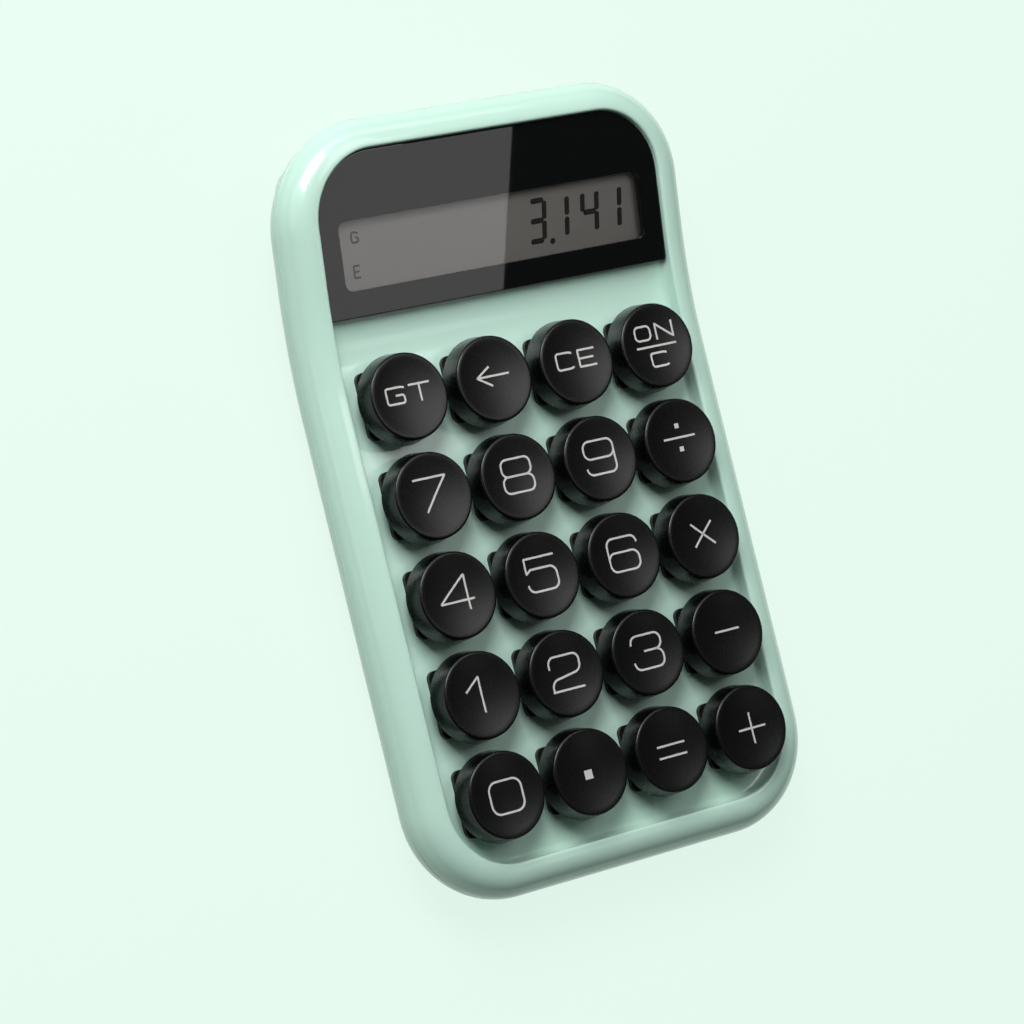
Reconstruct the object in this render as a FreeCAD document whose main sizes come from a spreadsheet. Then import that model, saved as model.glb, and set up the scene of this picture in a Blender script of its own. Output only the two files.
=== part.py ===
"""Desk calculator with round keys on key switches, in millimetres.

+X points right, +Y towards the display and +Z up. The origin lies on the table, under the middle of the case.
"""
import FreeCAD, Part
import math
import os
import re
from types import SimpleNamespace

import Sketcher
from FreeCAD import Placement, Rotation, Vector

# Keys by row, from the display down, and by column, from the left
KEYS = (
    ("gt", "erase", "ce", "on"),
    ("seven", "eight", "nine", "divide"),
    ("four", "five", "six", "times"),
    ("one", "two", "three", "minus"),
    ("zero", "point", "equals", "plus"),
)
ROW_GAPS = len(KEYS) - 1
COLUMN_GAPS = len(KEYS[0]) - 1

# Driving dimensions
SIZES = {
    # Key field
    "key_pitch": 20.0,
    "switch_size": 13.6,
    "side_margin": 4.0,
    "front_margin": 6.9,
    "back_margin": 10.2,
    # Case
    "rim_width": 6.65,
    "crest_flat": 1.05,
    "parting_band": 0.25,
    "corner_radius": 20.3,
    "wall": 2.0,
    "floor_thickness": 1.8,
    "tub_depth": 3.25,
    "tub_fillet": 1.2,
    "deck_thickness": 1.5,
    "ramp_lead": 1.1,
    "ramp_rise": 1.8,
    # Tilted display end
    "display_tilt": 12.0,
    "bend_radius": 115.0,
    "bend_lead": 17.0,
    "lens_length": 32.0,
    "lens_recess": 1.0,
    "lens_thickness": 1.6,
    "lens_gap": 0.1,
    "seat_thickness": 1.4,
    "lcd_width": 76.4,
    "lcd_length": 18.2,
    "lcd_front": 4.4,
    "lcd_ledge": 2.0,
    "lcd_thickness": 1.6,
    "lcd_gap": 0.6,
    "lcd_clearance": 0.2,
    "frame_side": 0.7,
    "frame_end": 3.0,
    "frame_floor": 1.0,
    "stake_radius": 0.9,
    "stake_inset": 8.0,
    # Switches and keys
    "key_travel": 2.0,
    "switch_depth": 5.9,
    "flange_thickness": 1.0,
    "flange_corner": 1.6,
    "plug_size": 12.4,
    "plug_depth": 1.0,
    "plug_gap": 0.1,
    "block_size": 10.4,
    "block_height": 1.1,
    "housing_wall": 1.0,
    "lower_wall": 1.7,
    "housing_floor": 1.2,
    "slide_gap": 0.2,
    "stop_gap": 0.1,
    "stroke_clearance": 0.15,
    "tenon_width": 5.6,
    "tenon_depth": 4.0,
    "slider_roof": 1.0,
    "spring_bore": 2.3,
    "spring_radius": 2.0,
    "spring_wire": 0.5,
    "post_radius": 1.2,
    "post_height": 1.4,
    "peg_radius": 1.6,
    "peg_length": 1.4,
    "pin_radius": 0.5,
    "pin_length": 2.6,
    "pin_across": 3.8,
    "pin_along": 4.7,
    "hole_gap": 0.15,
    "cap_height": 4.8,
    "cap_base_radius": 9.2,
    "cap_top_radius": 8.65,
    "cap_edge_round": 0.45,
    "cap_lip": 0.6,
    "cap_dish": 0.45,
    "cap_wall": 1.2,
    "cap_roof": 1.5,
    "press_clearance": 0.3,
    "socket_wall": 1.2,
    "socket_gap": 0.05,
    "socket_clearance": 0.2,
    # Board and what is on it
    "board_thickness": 1.6,
    "board_gap": 0.5,
    "board_front": 4.2,
    "board_tail": 5.2,
    "board_corner": 5.0,
    "under_board": 1.8,
    "chip_size": 7.0,
    "chip_height": 1.0,
    "connector_width": 24.0,
    "connector_length": 3.0,
    "connector_height": 1.8,
    "ribbon_width": 21.0,
    "ribbon_thickness": 0.3,
    "ribbon_lap": 6.0,
    # Fasteners
    "screw_radius": 1.0,
    "screw_head_radius": 1.8,
    "screw_head_height": 1.2,
    "screw_length": 5.0,
    "screw_gap": 0.05,
    "boss_radius": 2.4,
    "case_post_radius": 2.8,
    "case_post_inset": 5.5,
    "case_post_height": 4.7,
    "head_seat": 2.8,
    # Feet and wedge foot
    "foot_proud": 0.8,
    "foot_seat": 0.6,
    "foot_radius": 3.6,
    "foot_edge": 0.4,
    "front_foot_inset": 17.0,
    "front_foot_setback": 14.0,
    "wedge_width": 76.0,
    "wedge_front": 1.0,
    "wedge_setback": 5.0,
    "wedge_corner": 6.0,
    "wedge_floor": 2.2,
    "rear_foot_inset": 5.6,
    "rear_foot_gap": 1.4,
    # Battery compartment
    "cell_radius": 5.25,
    "cell_length": 44.5,
    "nub_radius": 1.9,
    "nub_length": 1.2,
    "cell_gap": 0.55,
    "cell_lift": 0.2,
    "cell_roof_gap": 0.1,
    "contact_thickness": 0.5,
    "contact_width": 8.0,
    "contact_spring": 4.9,
    "contact_spring_radius": 3.4,
    "contact_spring_wire": 0.6,
    "tab_height": 2.0,
    "tab_reach": 2.4,
    "bay_wall": 1.4,
    "bay_roof": 1.0,
    "door_thickness": 1.6,
    "door_lap": 1.0,
    "door_gap": 0.15,
    "tongue_width": 1.2,
    "tongue_thickness": 0.7,
    "tongue_lift": 0.8,
    "grip_width": 14.0,
    "grip_pitch": 1.8,
    "grip_depth": 0.4,
    "lead_radius": 0.6,
    "lead_lap": 2.5,
}
GRIP_RIBS = 4

# Sizes and places that follow from them
LAYOUT = {
    "body_width": f"2 * (rim_width + side_margin) + {COLUMN_GAPS} * key_pitch + switch_size",
    "field_length": f"{ROW_GAPS} * key_pitch + switch_size",
    "body_length": "2 * rim_width + front_margin + field_length + back_margin + lens_length",
    "keys_y": "-body_length / 2 + rim_width + front_margin + field_length / 2",
    "field_back": "keys_y + field_length / 2",
    "slab_thickness": "floor_thickness + under_board + board_thickness + switch_depth + tub_depth",
    "top_round": "rim_width - crest_flat",
    "bottom_round": "slab_thickness - top_round - parting_band",
    "parting_depth": "top_round + parting_band / 2",
    "crest_z": "foot_proud + slab_thickness",
    "deck_z": "crest_z - tub_depth",
    "board_top": "deck_z - switch_depth",
    "board_under": "board_top - board_thickness",
    # Switch heights
    "flange_top": "deck_z + flange_thickness",
    "block_top": "flange_top + block_height",
    "roof_under": "block_top - housing_wall",
    "housing_split": "deck_z - plug_depth",
    "bay_floor": "board_top + housing_floor",
    "slider_top": "roof_under - stop_gap",
    "slider_bottom": "bay_floor + key_travel + stroke_clearance",
    "slider_size": "block_size - 2 * (housing_wall + slide_gap)",
    "spring_top": "slider_top - slider_roof",
    # Cap heights and radii
    "cap_bottom": "flange_top + key_travel + press_clearance",
    "cap_top": "cap_bottom + cap_height",
    "cap_ceiling": "cap_top - cap_roof",
    "dish_radius": "((cap_top_radius - cap_lip) ^ 2 + cap_dish ^ 2) / (2 * cap_dish)",
    "cap_skirt_bore": "cap_base_radius - cap_wall",
    "cap_roof_bore": "cap_top_radius - cap_wall",
    "socket_bottom": "block_top + key_travel + socket_clearance",
    # Display end
    "lens_front_y": "body_length / 2 - rim_width - lens_length",
    "ramp_y": "field_back + ramp_lead",
    "ramp_run": "lens_front_y - ramp_y",
    "ramp_radius": "(ramp_run ^ 2 + ramp_rise ^ 2) / (2 * ramp_rise)",
    "bend_y": "lens_front_y - bend_lead",
    "tilt_y": "bend_y + bend_radius * sin(display_tilt)",
    "tilt_z": "crest_z + bend_radius * (1 - cos(display_tilt))",
    "seat_depth": "lens_recess + lens_thickness",
    "plate_depth": "seat_depth + seat_thickness",
    "lens_low": "(lens_front_y - tilt_y) / cos(display_tilt)",
    "lcd_low": "lens_low + lcd_front - (plate_depth - lens_recess) * tan(display_tilt)",
    "lcd_middle": "lcd_low + lcd_length / 2",
    "lcd_top_depth": "seat_depth + lcd_gap",
    "lcd_base_depth": "lcd_top_depth + lcd_thickness",
    "frame_base_depth": "lcd_base_depth + frame_floor",
    "frame_width": "lcd_width + 2 * (lcd_clearance + frame_side)",
    "frame_length": "lcd_length + 2 * (lcd_clearance + frame_end)",
    "stake_span": "lcd_length + 2 * lcd_clearance + frame_end",
    # Board
    "board_half": "body_width / 2 - case_post_inset - case_post_radius - board_gap",
    "board_low": "keys_y - field_length / 2 - board_front",
    "board_high": "field_back + board_tail",
    "connector_y": "board_high - connector_length",
    # Turned pieces, each in its own frame
    "foot_height": "foot_proud + foot_seat",
    "foot_face_radius": "foot_radius - foot_edge",
    "screw_tip": "screw_head_height + screw_length",
    "cell_shoulder": "cell_length - nub_length",
    # Battery compartment
    "door_top": "foot_proud + door_thickness",
    "cell_z": "door_top + cell_lift + cell_radius",
    "bay_half": "(cell_length + contact_spring) / 2 + contact_thickness",
    "bay_width": "2 * (cell_radius + cell_gap)",
    "bay_ceiling": "cell_z + cell_radius + cell_roof_gap",
    "bay_top": "bay_ceiling + bay_roof",
    "wedge_low": "lens_front_y + wedge_front",
    "wedge_high": "body_length / 2 - wedge_setback",
    "bay_high": "wedge_high - wall",
    "bay_low": "bay_high - bay_width",
    "cell_y": "(bay_low + bay_high) / 2",
    "door_half": "bay_half + door_lap",
    "door_low": "bay_low - door_lap",
}

doc = FreeCAD.newDocument("calculator")


def qualify(text):
    """Put the sheet's name before each size that an expression names."""
    def prefix(match):
        word = match.group()
        if word in SIZES:
            return f"Sizes.{word}"
        if word in LAYOUT:
            return f"Layout.{word}"
        return word
    return re.sub(r"[a-z_]\w*", prefix, text)


def make_sheet(name, cells):
    """Spreadsheet with one aliased cell for each size."""
    sheet = doc.addObject("Spreadsheet::Sheet", name)
    for row, (alias, text) in enumerate(cells.items(), 1):
        sheet.set(f"A{row}", alias)
        sheet.set(f"B{row}", text)
        sheet.setAlias(f"B{row}", alias)
    doc.recompute()
    return sheet


driving = make_sheet("Sizes", {name: str(number) for name, number in SIZES.items()})
derived = make_sheet("Layout", {name: f"={qualify(text)}" for name, text in LAYOUT.items()})
size = SimpleNamespace()
for name in SIZES:
    setattr(size, name, float(driving.get(name)))
for name in LAYOUT:
    setattr(size, name, float(derived.get(name)))
TILT = math.radians(size.display_tilt)
REACH = 2 * size.body_length


# Document objects tied to the sheets

def bind(obj, **expressions):
    """Tie properties to sizes; a double underscore in a name stands for a dot."""
    for name, text in expressions.items():
        obj.setExpression(name.replace("__", "."), qualify(text))
    return obj


def block(name, width, length, height, x="0", y="0", z="0"):
    """Box centred on x and y, standing on z."""
    box = doc.addObject("Part::Box", name)
    bind(box, Length=width, Width=length, Height=height)
    return bind(
        box,
        Placement__Base__x=f"({x}) - ({width}) / 2",
        Placement__Base__y=f"({y}) - ({length}) / 2",
        Placement__Base__z=z,
    )


def rod(name, radius, height, x="0", y="0", z="0"):
    """Upright cylinder standing on z."""
    cylinder = doc.addObject("Part::Cylinder", name)
    bind(cylinder, Radius=radius, Height=height)
    return bind(cylinder, Placement__Base__x=x, Placement__Base__y=y, Placement__Base__z=z)


def ball(name, radius, z="0"):
    """Sphere about a point of the Z axis."""
    sphere = doc.addObject("Part::Sphere", name)
    return bind(sphere, Radius=radius, Placement__Base__z=z)


def fuse(name, *pieces):
    """One solid from several that touch or overlap."""
    joined = doc.addObject("Part::MultiFuse", name)
    joined.Shapes = list(pieces)
    joined.Refine = True
    return joined


def cut(name, base, *tools):
    """A solid less its cutters."""
    result = doc.addObject("Part::Cut", name)
    result.Base = base
    result.Tool = tools[0] if len(tools) == 1 else fuse(f"{name}_tools", *tools)
    return result


def feature(name, shape):
    """Sub-part whose shape the code works out."""
    obj = doc.addObject("Part::Feature", name)
    obj.Shape = shape
    return obj


def turned(name, points, edge_radius=None, edge_height=None):
    """Body of revolution about Z through corners given as (radius, height) sizes.

    An edge radius rounds the circular edge at the edge height.
    """
    body = doc.addObject("PartDesign::Body", name)
    plane = next(f for f in body.Origin.OriginFeatures if f.Role == "XZ_Plane")
    sketch = body.newObject("Sketcher::SketchObject", f"{name}_profile")
    sketch.AttachmentSupport = (plane, [""])
    sketch.MapMode = "FlatFace"
    corners = [Vector(getattr(size, r, 0.0), getattr(size, z, 0.0), 0) for r, z in points]
    count = len(points)
    for i in range(count):
        sketch.addGeometry(Part.LineSegment(corners[i], corners[(i + 1) % count]))
    for i, point in enumerate(points):
        sketch.addConstraint(Sketcher.Constraint("Coincident", i, 2, (i + 1) % count, 1))
        for kind, axis, coordinate, text in (("DistanceX", -2, corners[i].x, point[0]),
                                             ("DistanceY", -1, corners[i].y, point[1])):
            if text == "0":
                sketch.addConstraint(Sketcher.Constraint("PointOnObject", i, 1, axis))
                continue
            index = sketch.addConstraint(Sketcher.Constraint(kind, -1, 1, i, 1, coordinate))
            sketch.setExpression(f"Constraints[{index}]", qualify(text))
    spin = body.newObject("PartDesign::Revolution", f"{name}_turn")
    spin.Profile = sketch
    spin.ReferenceAxis = (sketch, ["V_Axis"])
    spin.Angle = 360.0
    doc.recompute()
    if edge_radius:
        height = getattr(size, edge_height)
        rims = [
            f"Edge{i}" for i, edge in enumerate(spin.Shape.Edges, 1)
            if all(abs(v.Point.z - height) < 1e-6 for v in edge.Vertexes) and edge.Closed
        ]
        rounding = body.newObject("PartDesign::Fillet", f"{name}_round")
        rounding.Base = (spin, rims)
        bind(rounding, Radius=edge_radius)
        body.Tip = rounding
        doc.recompute()
    return body


def plate(name, width, length, thickness, radius, x="0", y="0", z="0"):
    """Flat plate with round corners, centred on x and y, standing on z."""
    body = doc.addObject("PartDesign::Body", name)
    plane = next(f for f in body.Origin.OriginFeatures if f.Role == "XY_Plane")
    sketch = body.newObject("Sketcher::SketchObject", f"{name}_outline")
    sketch.AttachmentSupport = (plane, [""])
    sketch.MapMode = "FlatFace"
    start = size.key_pitch
    corners = [Vector(sx * start / 2, sy * start / 2, 0) for sx, sy in ((-1, -1), (1, -1), (1, 1), (-1, 1))]
    for i in range(4):
        sketch.addGeometry(Part.LineSegment(corners[i], corners[(i + 1) % 4]))
    for i in range(4):
        sketch.addConstraint(Sketcher.Constraint("Coincident", i, 2, (i + 1) % 4, 1))
        sketch.addConstraint(Sketcher.Constraint(("Horizontal", "Vertical")[i % 2], i))
    sketch.addConstraint(Sketcher.Constraint("Symmetric", 0, 1, 2, 1, -1, 1))
    across = sketch.addConstraint(Sketcher.Constraint("DistanceX", 0, 1, 0, 2, start))
    along = sketch.addConstraint(Sketcher.Constraint("DistanceY", 1, 1, 1, 2, start))
    sketch.setExpression(f"Constraints[{across}]", qualify(width))
    sketch.setExpression(f"Constraints[{along}]", qualify(length))
    pad = body.newObject("PartDesign::Pad", f"{name}_pad")
    pad.Profile = sketch
    bind(pad, Length=thickness)
    doc.recompute()
    uprights = [
        f"Edge{i}" for i, edge in enumerate(pad.Shape.Edges, 1)
        if abs(edge.Vertexes[0].Point.z - edge.Vertexes[-1].Point.z) > 1e-6
    ]
    rounding = body.newObject("PartDesign::Fillet", f"{name}_corners")
    rounding.Base = (pad, uprights)
    bind(rounding, Radius=radius)
    body.Tip = rounding
    return bind(body, Placement__Base__x=x, Placement__Base__y=y, Placement__Base__z=z)


def tilt(obj):
    """Set a piece drawn flat about the display's own origin into the tilted display end."""
    obj.Placement = Placement(Vector(0, 0, 0), Rotation(Vector(1, 0, 0), size.display_tilt))
    return bind(
        obj,
        Placement__Base__y="tilt_y",
        Placement__Base__z="tilt_z",
        Placement__Rotation__Angle="display_tilt",
    )


# Shapes of the bent case

def rounded_face(low, high, radius, height=0.0):
    """Level rectangle between two (x, y) corners, with round corners."""
    centres = (
        (high[0] - radius, high[1] - radius),
        (low[0] + radius, high[1] - radius),
        (low[0] + radius, low[1] + radius),
        (high[0] - radius, low[1] + radius),
    )
    arcs = []
    for quarter, (x, y) in enumerate(centres):
        circle = Part.Circle(Vector(x, y, height), Vector(0, 0, 1), radius)
        arcs.append(Part.ArcOfCircle(circle, quarter * math.pi / 2, (quarter + 1) * math.pi / 2))
    edges = []
    for i, arc in enumerate(arcs):
        edges.append(arc.toShape())
        edges.append(Part.makeLine(arc.EndPoint, arcs[(i + 1) % 4].StartPoint))
    return Part.Face(Part.Wire(edges))


def outline_prism(inset):
    """Tall prism of the case's outline, drawn in by an inset."""
    x = size.body_width / 2 - inset
    y = size.body_length / 2 - inset
    face = rounded_face((-x, -y), (x, y), size.corner_radius - inset, -REACH)
    return face.extrude(Vector(0, 0, 2 * REACH))


def across(edges):
    """Solid swept along X from a closed outline in the YZ plane."""
    face = Part.Face(Part.Wire(Part.__sortEdges__(edges)))
    solid = face.extrude(Vector(2 * REACH, 0, 0))
    solid.translate(Vector(-REACH, 0, 0))
    return solid


def bent_line(depth):
    """Edges of the case's side profile at a depth under its crest, from front to back."""
    centre = Vector(0, size.bend_y, size.crest_z + size.bend_radius)
    radius = size.bend_radius + depth
    spokes = [Vector(0, math.sin(a), -math.cos(a)) * radius for a in (0, TILT / 2, TILT)]
    start, middle, end = [centre + spoke for spoke in spokes]
    front = Vector(0, -REACH, start.z)
    back = end + Vector(0, math.cos(TILT), math.sin(TILT)) * REACH
    edges = [Part.makeLine(front, start), Part.Arc(start, middle, end).toShape(), Part.makeLine(end, back)]
    return edges, front, back


def bent_layer(upper, lower):
    """Layer between two depths under the crest, wider than the case."""
    top, top_front, top_back = bent_line(upper)
    bottom, bottom_front, bottom_back = bent_line(lower)
    ends = [Part.makeLine(top_front, bottom_front), Part.makeLine(top_back, bottom_back)]
    return across(top + bottom + ends)


def depth_under_crest(point):
    """Depth of a point under the bent crest surface."""
    y = point.y - size.bend_y
    fall = size.crest_z + size.bend_radius - point.z
    if y <= 0:
        return fall - size.bend_radius
    if math.atan2(y, fall) <= TILT:
        return math.hypot(y, fall) - size.bend_radius
    return y * math.sin(TILT) + fall * math.cos(TILT) - size.bend_radius


def crest_rise(y):
    """Height of the crest at y above its height over the keys."""
    run = y - size.bend_y
    if run <= 0:
        return 0.0
    if y < size.tilt_y:
        return size.bend_radius - math.sqrt(size.bend_radius ** 2 - run ** 2)
    return size.tilt_z - size.crest_z + (y - size.tilt_y) * math.tan(TILT)


def outline_gap(point, inset):
    """Distance of a point from the outline drawn in by an inset, in plan."""
    radius = size.corner_radius - inset
    dx = max(abs(point.x) - (size.body_width / 2 - inset - radius), 0)
    dy = max(abs(point.y) - (size.body_length / 2 - inset - radius), 0)
    return math.hypot(dx, dy) - radius


def ring_edges(shape, inset, depth):
    """Edges that run round the outline at one depth."""
    ring = []
    for edge in shape.Edges:
        first, last = edge.ParameterRange
        points = [edge.valueAt(first + (last - first) * share) for share in (0.1, 0.5, 0.9)]
        on_outline = all(abs(outline_gap(p, inset)) < 0.01 for p in points)
        if on_outline and all(abs(depth_under_crest(p) - depth) < 0.01 for p in points):
            ring.append(edge)
    return ring


def case_slab(inset, upper, lower, upper_round, lower_round):
    """Bent slab between two depths with round edges all the way round."""
    slab = outline_prism(inset).common(bent_layer(upper, lower))
    slab = slab.makeFillet(upper_round, ring_edges(slab, inset, upper))
    return slab.makeFillet(lower_round, ring_edges(slab, inset, lower))


def key_space(drop):
    """Space over the key deck and its ramp, lowered by a drop, up to the lens."""
    centre = Vector(0, size.ramp_y, size.deck_z + size.ramp_radius)
    sweep = math.asin(size.ramp_run / size.ramp_radius)
    radius = size.ramp_radius + drop
    spokes = [Vector(0, math.sin(a), -math.cos(a)) * radius for a in (0, sweep / 2, sweep)]
    start, middle, end = [centre + spoke for spoke in spokes]
    corners = [end, Vector(0, end.y, REACH), Vector(0, -REACH, REACH), Vector(0, -REACH, start.z), start]
    edges = [Part.makeLine(a, b) for a, b in zip(corners, corners[1:])]
    return across(edges + [Part.Arc(start, middle, end).toShape()])


def behind(y):
    """Everything behind a plane square to Y."""
    return Part.makeBox(2 * REACH, REACH, 2 * REACH, Vector(-REACH, y, -REACH))


def tilted_space(depth):
    """Everything above the tilted display plane lowered by a depth."""
    space = Part.makeBox(2 * REACH, 2 * REACH, REACH, Vector(-REACH, -REACH, -depth))
    space.Placement = display_placement()
    return space


def display_placement():
    """Place of the display's own frame: its origin where the bend ends, on the crest."""
    return Placement(Vector(0, size.tilt_y, size.tilt_z), Rotation(Vector(1, 0, 0), size.display_tilt))


def grid(width, length, low, high, points):
    """Equal upright boxes centred on plan points."""
    boxes = []
    for x, y in points:
        corner = Vector(x - width / 2, y - length / 2, low)
        boxes.append(Part.makeBox(width, length, high - low, corner))
    return Part.makeCompound(boxes)


def posts(radius, spans):
    """Upright cylinders from (x, y, low, high) spans."""
    return Part.makeCompound([
        Part.makeCylinder(radius, high - low, Vector(x, y, low)) for x, y, low, high in spans
    ])


def key_centre(row, column):
    """Plan place of a key."""
    x = (column - COLUMN_GAPS / 2) * size.key_pitch
    y = size.keys_y + (ROW_GAPS / 2 - row) * size.key_pitch
    return x, y


KEY_PLACES = {
    name: key_centre(row, column)
    for row, names in enumerate(KEYS) for column, name in enumerate(names)
}
# Board screws stand where four keys meet
BOARD_SCREWS = [
    (x * size.key_pitch, size.keys_y + y * size.key_pitch * 1.5) for x in (-1, 1) for y in (-1, 1)
]
CASE_SCREW_ROWS = (
    size.keys_y - size.key_pitch * 1.5,
    size.keys_y + size.key_pitch * 0.5,
    size.lens_front_y + size.lens_length / 2,
)
CASE_SCREWS = [
    (side * (size.body_width / 2 - size.case_post_inset), y) for side in (-1, 1) for y in CASE_SCREW_ROWS
]
FRONT_FEET_Y = -size.body_length / 2 + size.front_foot_setback
REAR_FEET_Y = size.wedge_high - size.rear_foot_inset
FEET = [(side * (size.body_width / 2 - size.front_foot_inset), FRONT_FEET_Y) for side in (-1, 1)]
REAR_FEET_X = size.door_half + size.tongue_width + size.rear_foot_gap + size.foot_radius
FEET += [(side * REAR_FEET_X, REAR_FEET_Y) for side in (-1, 1)]


def split_height(y):
    """Height where a case screw's two posts meet."""
    return size.foot_proud + crest_rise(y) + size.case_post_height


def head_height(y):
    """Underside of a case screw's head."""
    return size.foot_proud + crest_rise(y) + size.head_seat


# Case

outer_slab = case_slab(0, 0, size.slab_thickness, size.top_round, size.bottom_round)
inner_slab = case_slab(
    size.wall, size.wall, size.slab_thickness - size.floor_thickness,
    size.top_round - size.wall, size.bottom_round - size.wall,
)


def build_upper_shell():
    """Case top: bent rim, sunken key deck with switch holes, lens seat and screw bosses."""
    front = outline_prism(size.rim_width).cut(behind(size.lens_front_y))
    key_pocket = front.common(key_space(0))
    foot_edges = []
    for edge in key_pocket.Edges:
        first, last = edge.ParameterRange
        point = edge.valueAt((first + last) / 2)
        on_wall = abs(outline_gap(point, size.rim_width)) < 0.01
        if on_wall and point.z < size.crest_z and point.y < size.lens_front_y - 0.01:
            foot_edges.append(edge)
    key_pocket = key_pocket.makeFillet(size.tub_fillet, foot_edges)
    back = outline_prism(size.rim_width).common(behind(size.lens_front_y))
    lens_pocket = back.common(tilted_space(size.seat_depth))

    tray = outline_prism(size.rim_width - size.wall)
    key_tray = tray.common(key_space(size.deck_thickness)).cut(behind(size.lens_front_y))
    lens_tray = tray.common(behind(size.lens_front_y - size.wall)).common(tilted_space(size.plate_depth))
    cavity = inner_slab.cut(key_tray).cut(lens_tray)

    shell = outer_slab.common(bent_layer(-size.slab_thickness, size.parting_depth)).cut(cavity)
    bosses = posts(size.boss_radius, [(x, y, split_height(y), REACH) for x, y in CASE_SCREWS])
    shell = shell.fuse(bosses.common(outer_slab))
    board_bosses = [(x, y, size.board_top, size.deck_z - size.deck_thickness / 2) for x, y in BOARD_SCREWS]
    shell = shell.fuse(posts(size.boss_radius, board_bosses))
    shell = shell.cut(key_pocket.fuse(lens_pocket).removeSplitter()).removeSplitter()

    hole = size.plug_size + 2 * size.plug_gap
    shell = shell.cut(grid(hole, hole, size.board_top, size.crest_z, KEY_PLACES.values()))
    window = Part.makeBox(
        size.lcd_width + 2 * size.lcd_clearance,
        size.lcd_length + 2 * size.lcd_clearance,
        size.slab_thickness,
        Vector(
            -size.lcd_width / 2 - size.lcd_clearance, size.lcd_low - size.lcd_clearance, -size.slab_thickness / 2
        ),
    )
    window.translate(Vector(0, 0, -size.plate_depth))
    window.Placement = display_placement().multiply(window.Placement)
    shell = shell.cut(window)
    bore = size.screw_radius + size.screw_gap
    bores = [(x, y, split_height(y), head_height(y) + size.screw_length + bore) for x, y in CASE_SCREWS]
    bores += [(x, y, size.board_top, size.board_under + size.screw_length + bore) for x, y in BOARD_SCREWS]
    shell = shell.cut(posts(bore, bores))
    stake_roots = -size.seat_depth - size.seat_thickness / 2
    stakes = posts(size.stake_radius, stake_spans(-size.frame_base_depth, stake_roots))
    stakes.Placement = display_placement()
    return shell.fuse(stakes).removeSplitter()


def stake_spans(low, high):
    """Places of the stakes that hold the display frame, in the display's own frame."""
    x = size.frame_width / 2 - size.stake_inset
    return [
        (side * x, size.lcd_middle + end * size.stake_span / 2, low, high)
        for side in (-1, 1) for end in (-1, 1)
    ]


def build_lower_shell():
    """Case bottom with screw posts, the wedge foot, the battery bay and the feet's seats."""
    shell = outer_slab.common(bent_layer(size.parting_depth, 2 * size.slab_thickness))
    wedge = rounded_face(
        (-size.wedge_width / 2, size.wedge_low), (size.wedge_width / 2, size.wedge_high),
        size.wedge_corner, size.foot_proud,
    ).extrude(Vector(0, 0, 2 * size.slab_thickness))
    wedge = wedge.common(bent_layer(size.slab_thickness - size.floor_thickness, 3 * size.slab_thickness))
    shell = shell.fuse(wedge).cut(inner_slab)
    hollow = rounded_face(
        (-size.wedge_width / 2 + size.wall, size.wedge_low + size.wall),
        (size.wedge_width / 2 - size.wall, size.wedge_high - size.wall),
        size.wedge_corner - size.wall, size.foot_proud + size.wedge_floor,
    ).extrude(Vector(0, 0, 2 * size.slab_thickness))
    shell = shell.cut(hollow)

    bay_x = size.bay_half + size.bay_wall
    bay = Part.makeBox(
        2 * bay_x,
        size.wedge_high - size.wall / 2 - size.bay_low + size.bay_wall,
        size.bay_top - size.foot_proud,
        Vector(-bay_x, size.bay_low - size.bay_wall, size.foot_proud),
    )
    shell = shell.fuse(bay)
    spans = [(x, y, size.foot_proud, split_height(y)) for x, y in CASE_SCREWS]
    shell = shell.fuse(posts(size.case_post_radius, spans).common(outer_slab))

    room = Part.makeBox(
        2 * size.bay_half, size.bay_width, size.bay_ceiling, Vector(-size.bay_half, size.bay_low, 0)
    )
    tabs = tab_boxes(size.hole_gap)
    shell = shell.cut(room).cut(tabs).cut(door_space(size.door_gap))
    seats = [(x, y, 0, size.foot_proud + size.foot_seat) for x, y in FEET]
    shell = shell.cut(posts(size.foot_radius, seats))
    heads = [(x, y, 0, head_height(y)) for x, y in CASE_SCREWS]
    shell = shell.cut(posts(size.screw_head_radius + size.hole_gap, heads))
    bores = [(x, y, 0, split_height(y)) for x, y in CASE_SCREWS]
    return shell.cut(posts(size.screw_radius + size.hole_gap, bores)).removeSplitter()


def door_space(gap):
    """Door's plate with its tongues, grown by a gap and open towards the back."""
    plate_box = Part.makeBox(
        2 * (size.door_half + gap), size.wedge_high - size.door_low + gap, size.door_thickness + gap,
        Vector(-size.door_half - gap, size.door_low - gap, size.foot_proud),
    )
    wide = size.door_half + size.tongue_width + gap
    tongue = Part.makeBox(
        2 * wide, size.wedge_high - size.door_low + size.tongue_width + gap, size.tongue_thickness + 2 * gap,
        Vector(-wide, size.door_low - size.tongue_width - gap, size.foot_proud + size.tongue_lift - gap),
    )
    return plate_box.fuse(tongue)


def build_battery_door():
    """Sliding door with grip grooves."""
    door = door_space(0)
    for rib in range(GRIP_RIBS):
        y = size.wedge_high - (rib + 1) * size.grip_pitch
        groove = Part.makeBox(
            size.grip_width, size.grip_pitch / 2, size.grip_depth,
            Vector(-size.grip_width / 2, y, size.foot_proud),
        )
        door = door.cut(groove)
    return door


def tab_boxes(gap):
    """Tabs of the two contact plates, through the bay's front wall."""
    thick = size.contact_thickness
    boxes = []
    for x in (-size.bay_half, size.bay_half - thick):
        corner = Vector(x - gap, size.bay_low - size.tab_reach, size.cell_z - gap)
        length = size.tab_reach + size.bay_width / 2
        boxes.append(Part.makeBox(thick + 2 * gap, length, size.tab_height + 2 * gap, corner))
    return Part.makeCompound(boxes)


feature("upper_shell", build_upper_shell())
feature("lower_shell", build_lower_shell())
feature("battery_door", build_battery_door())

# Display

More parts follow.
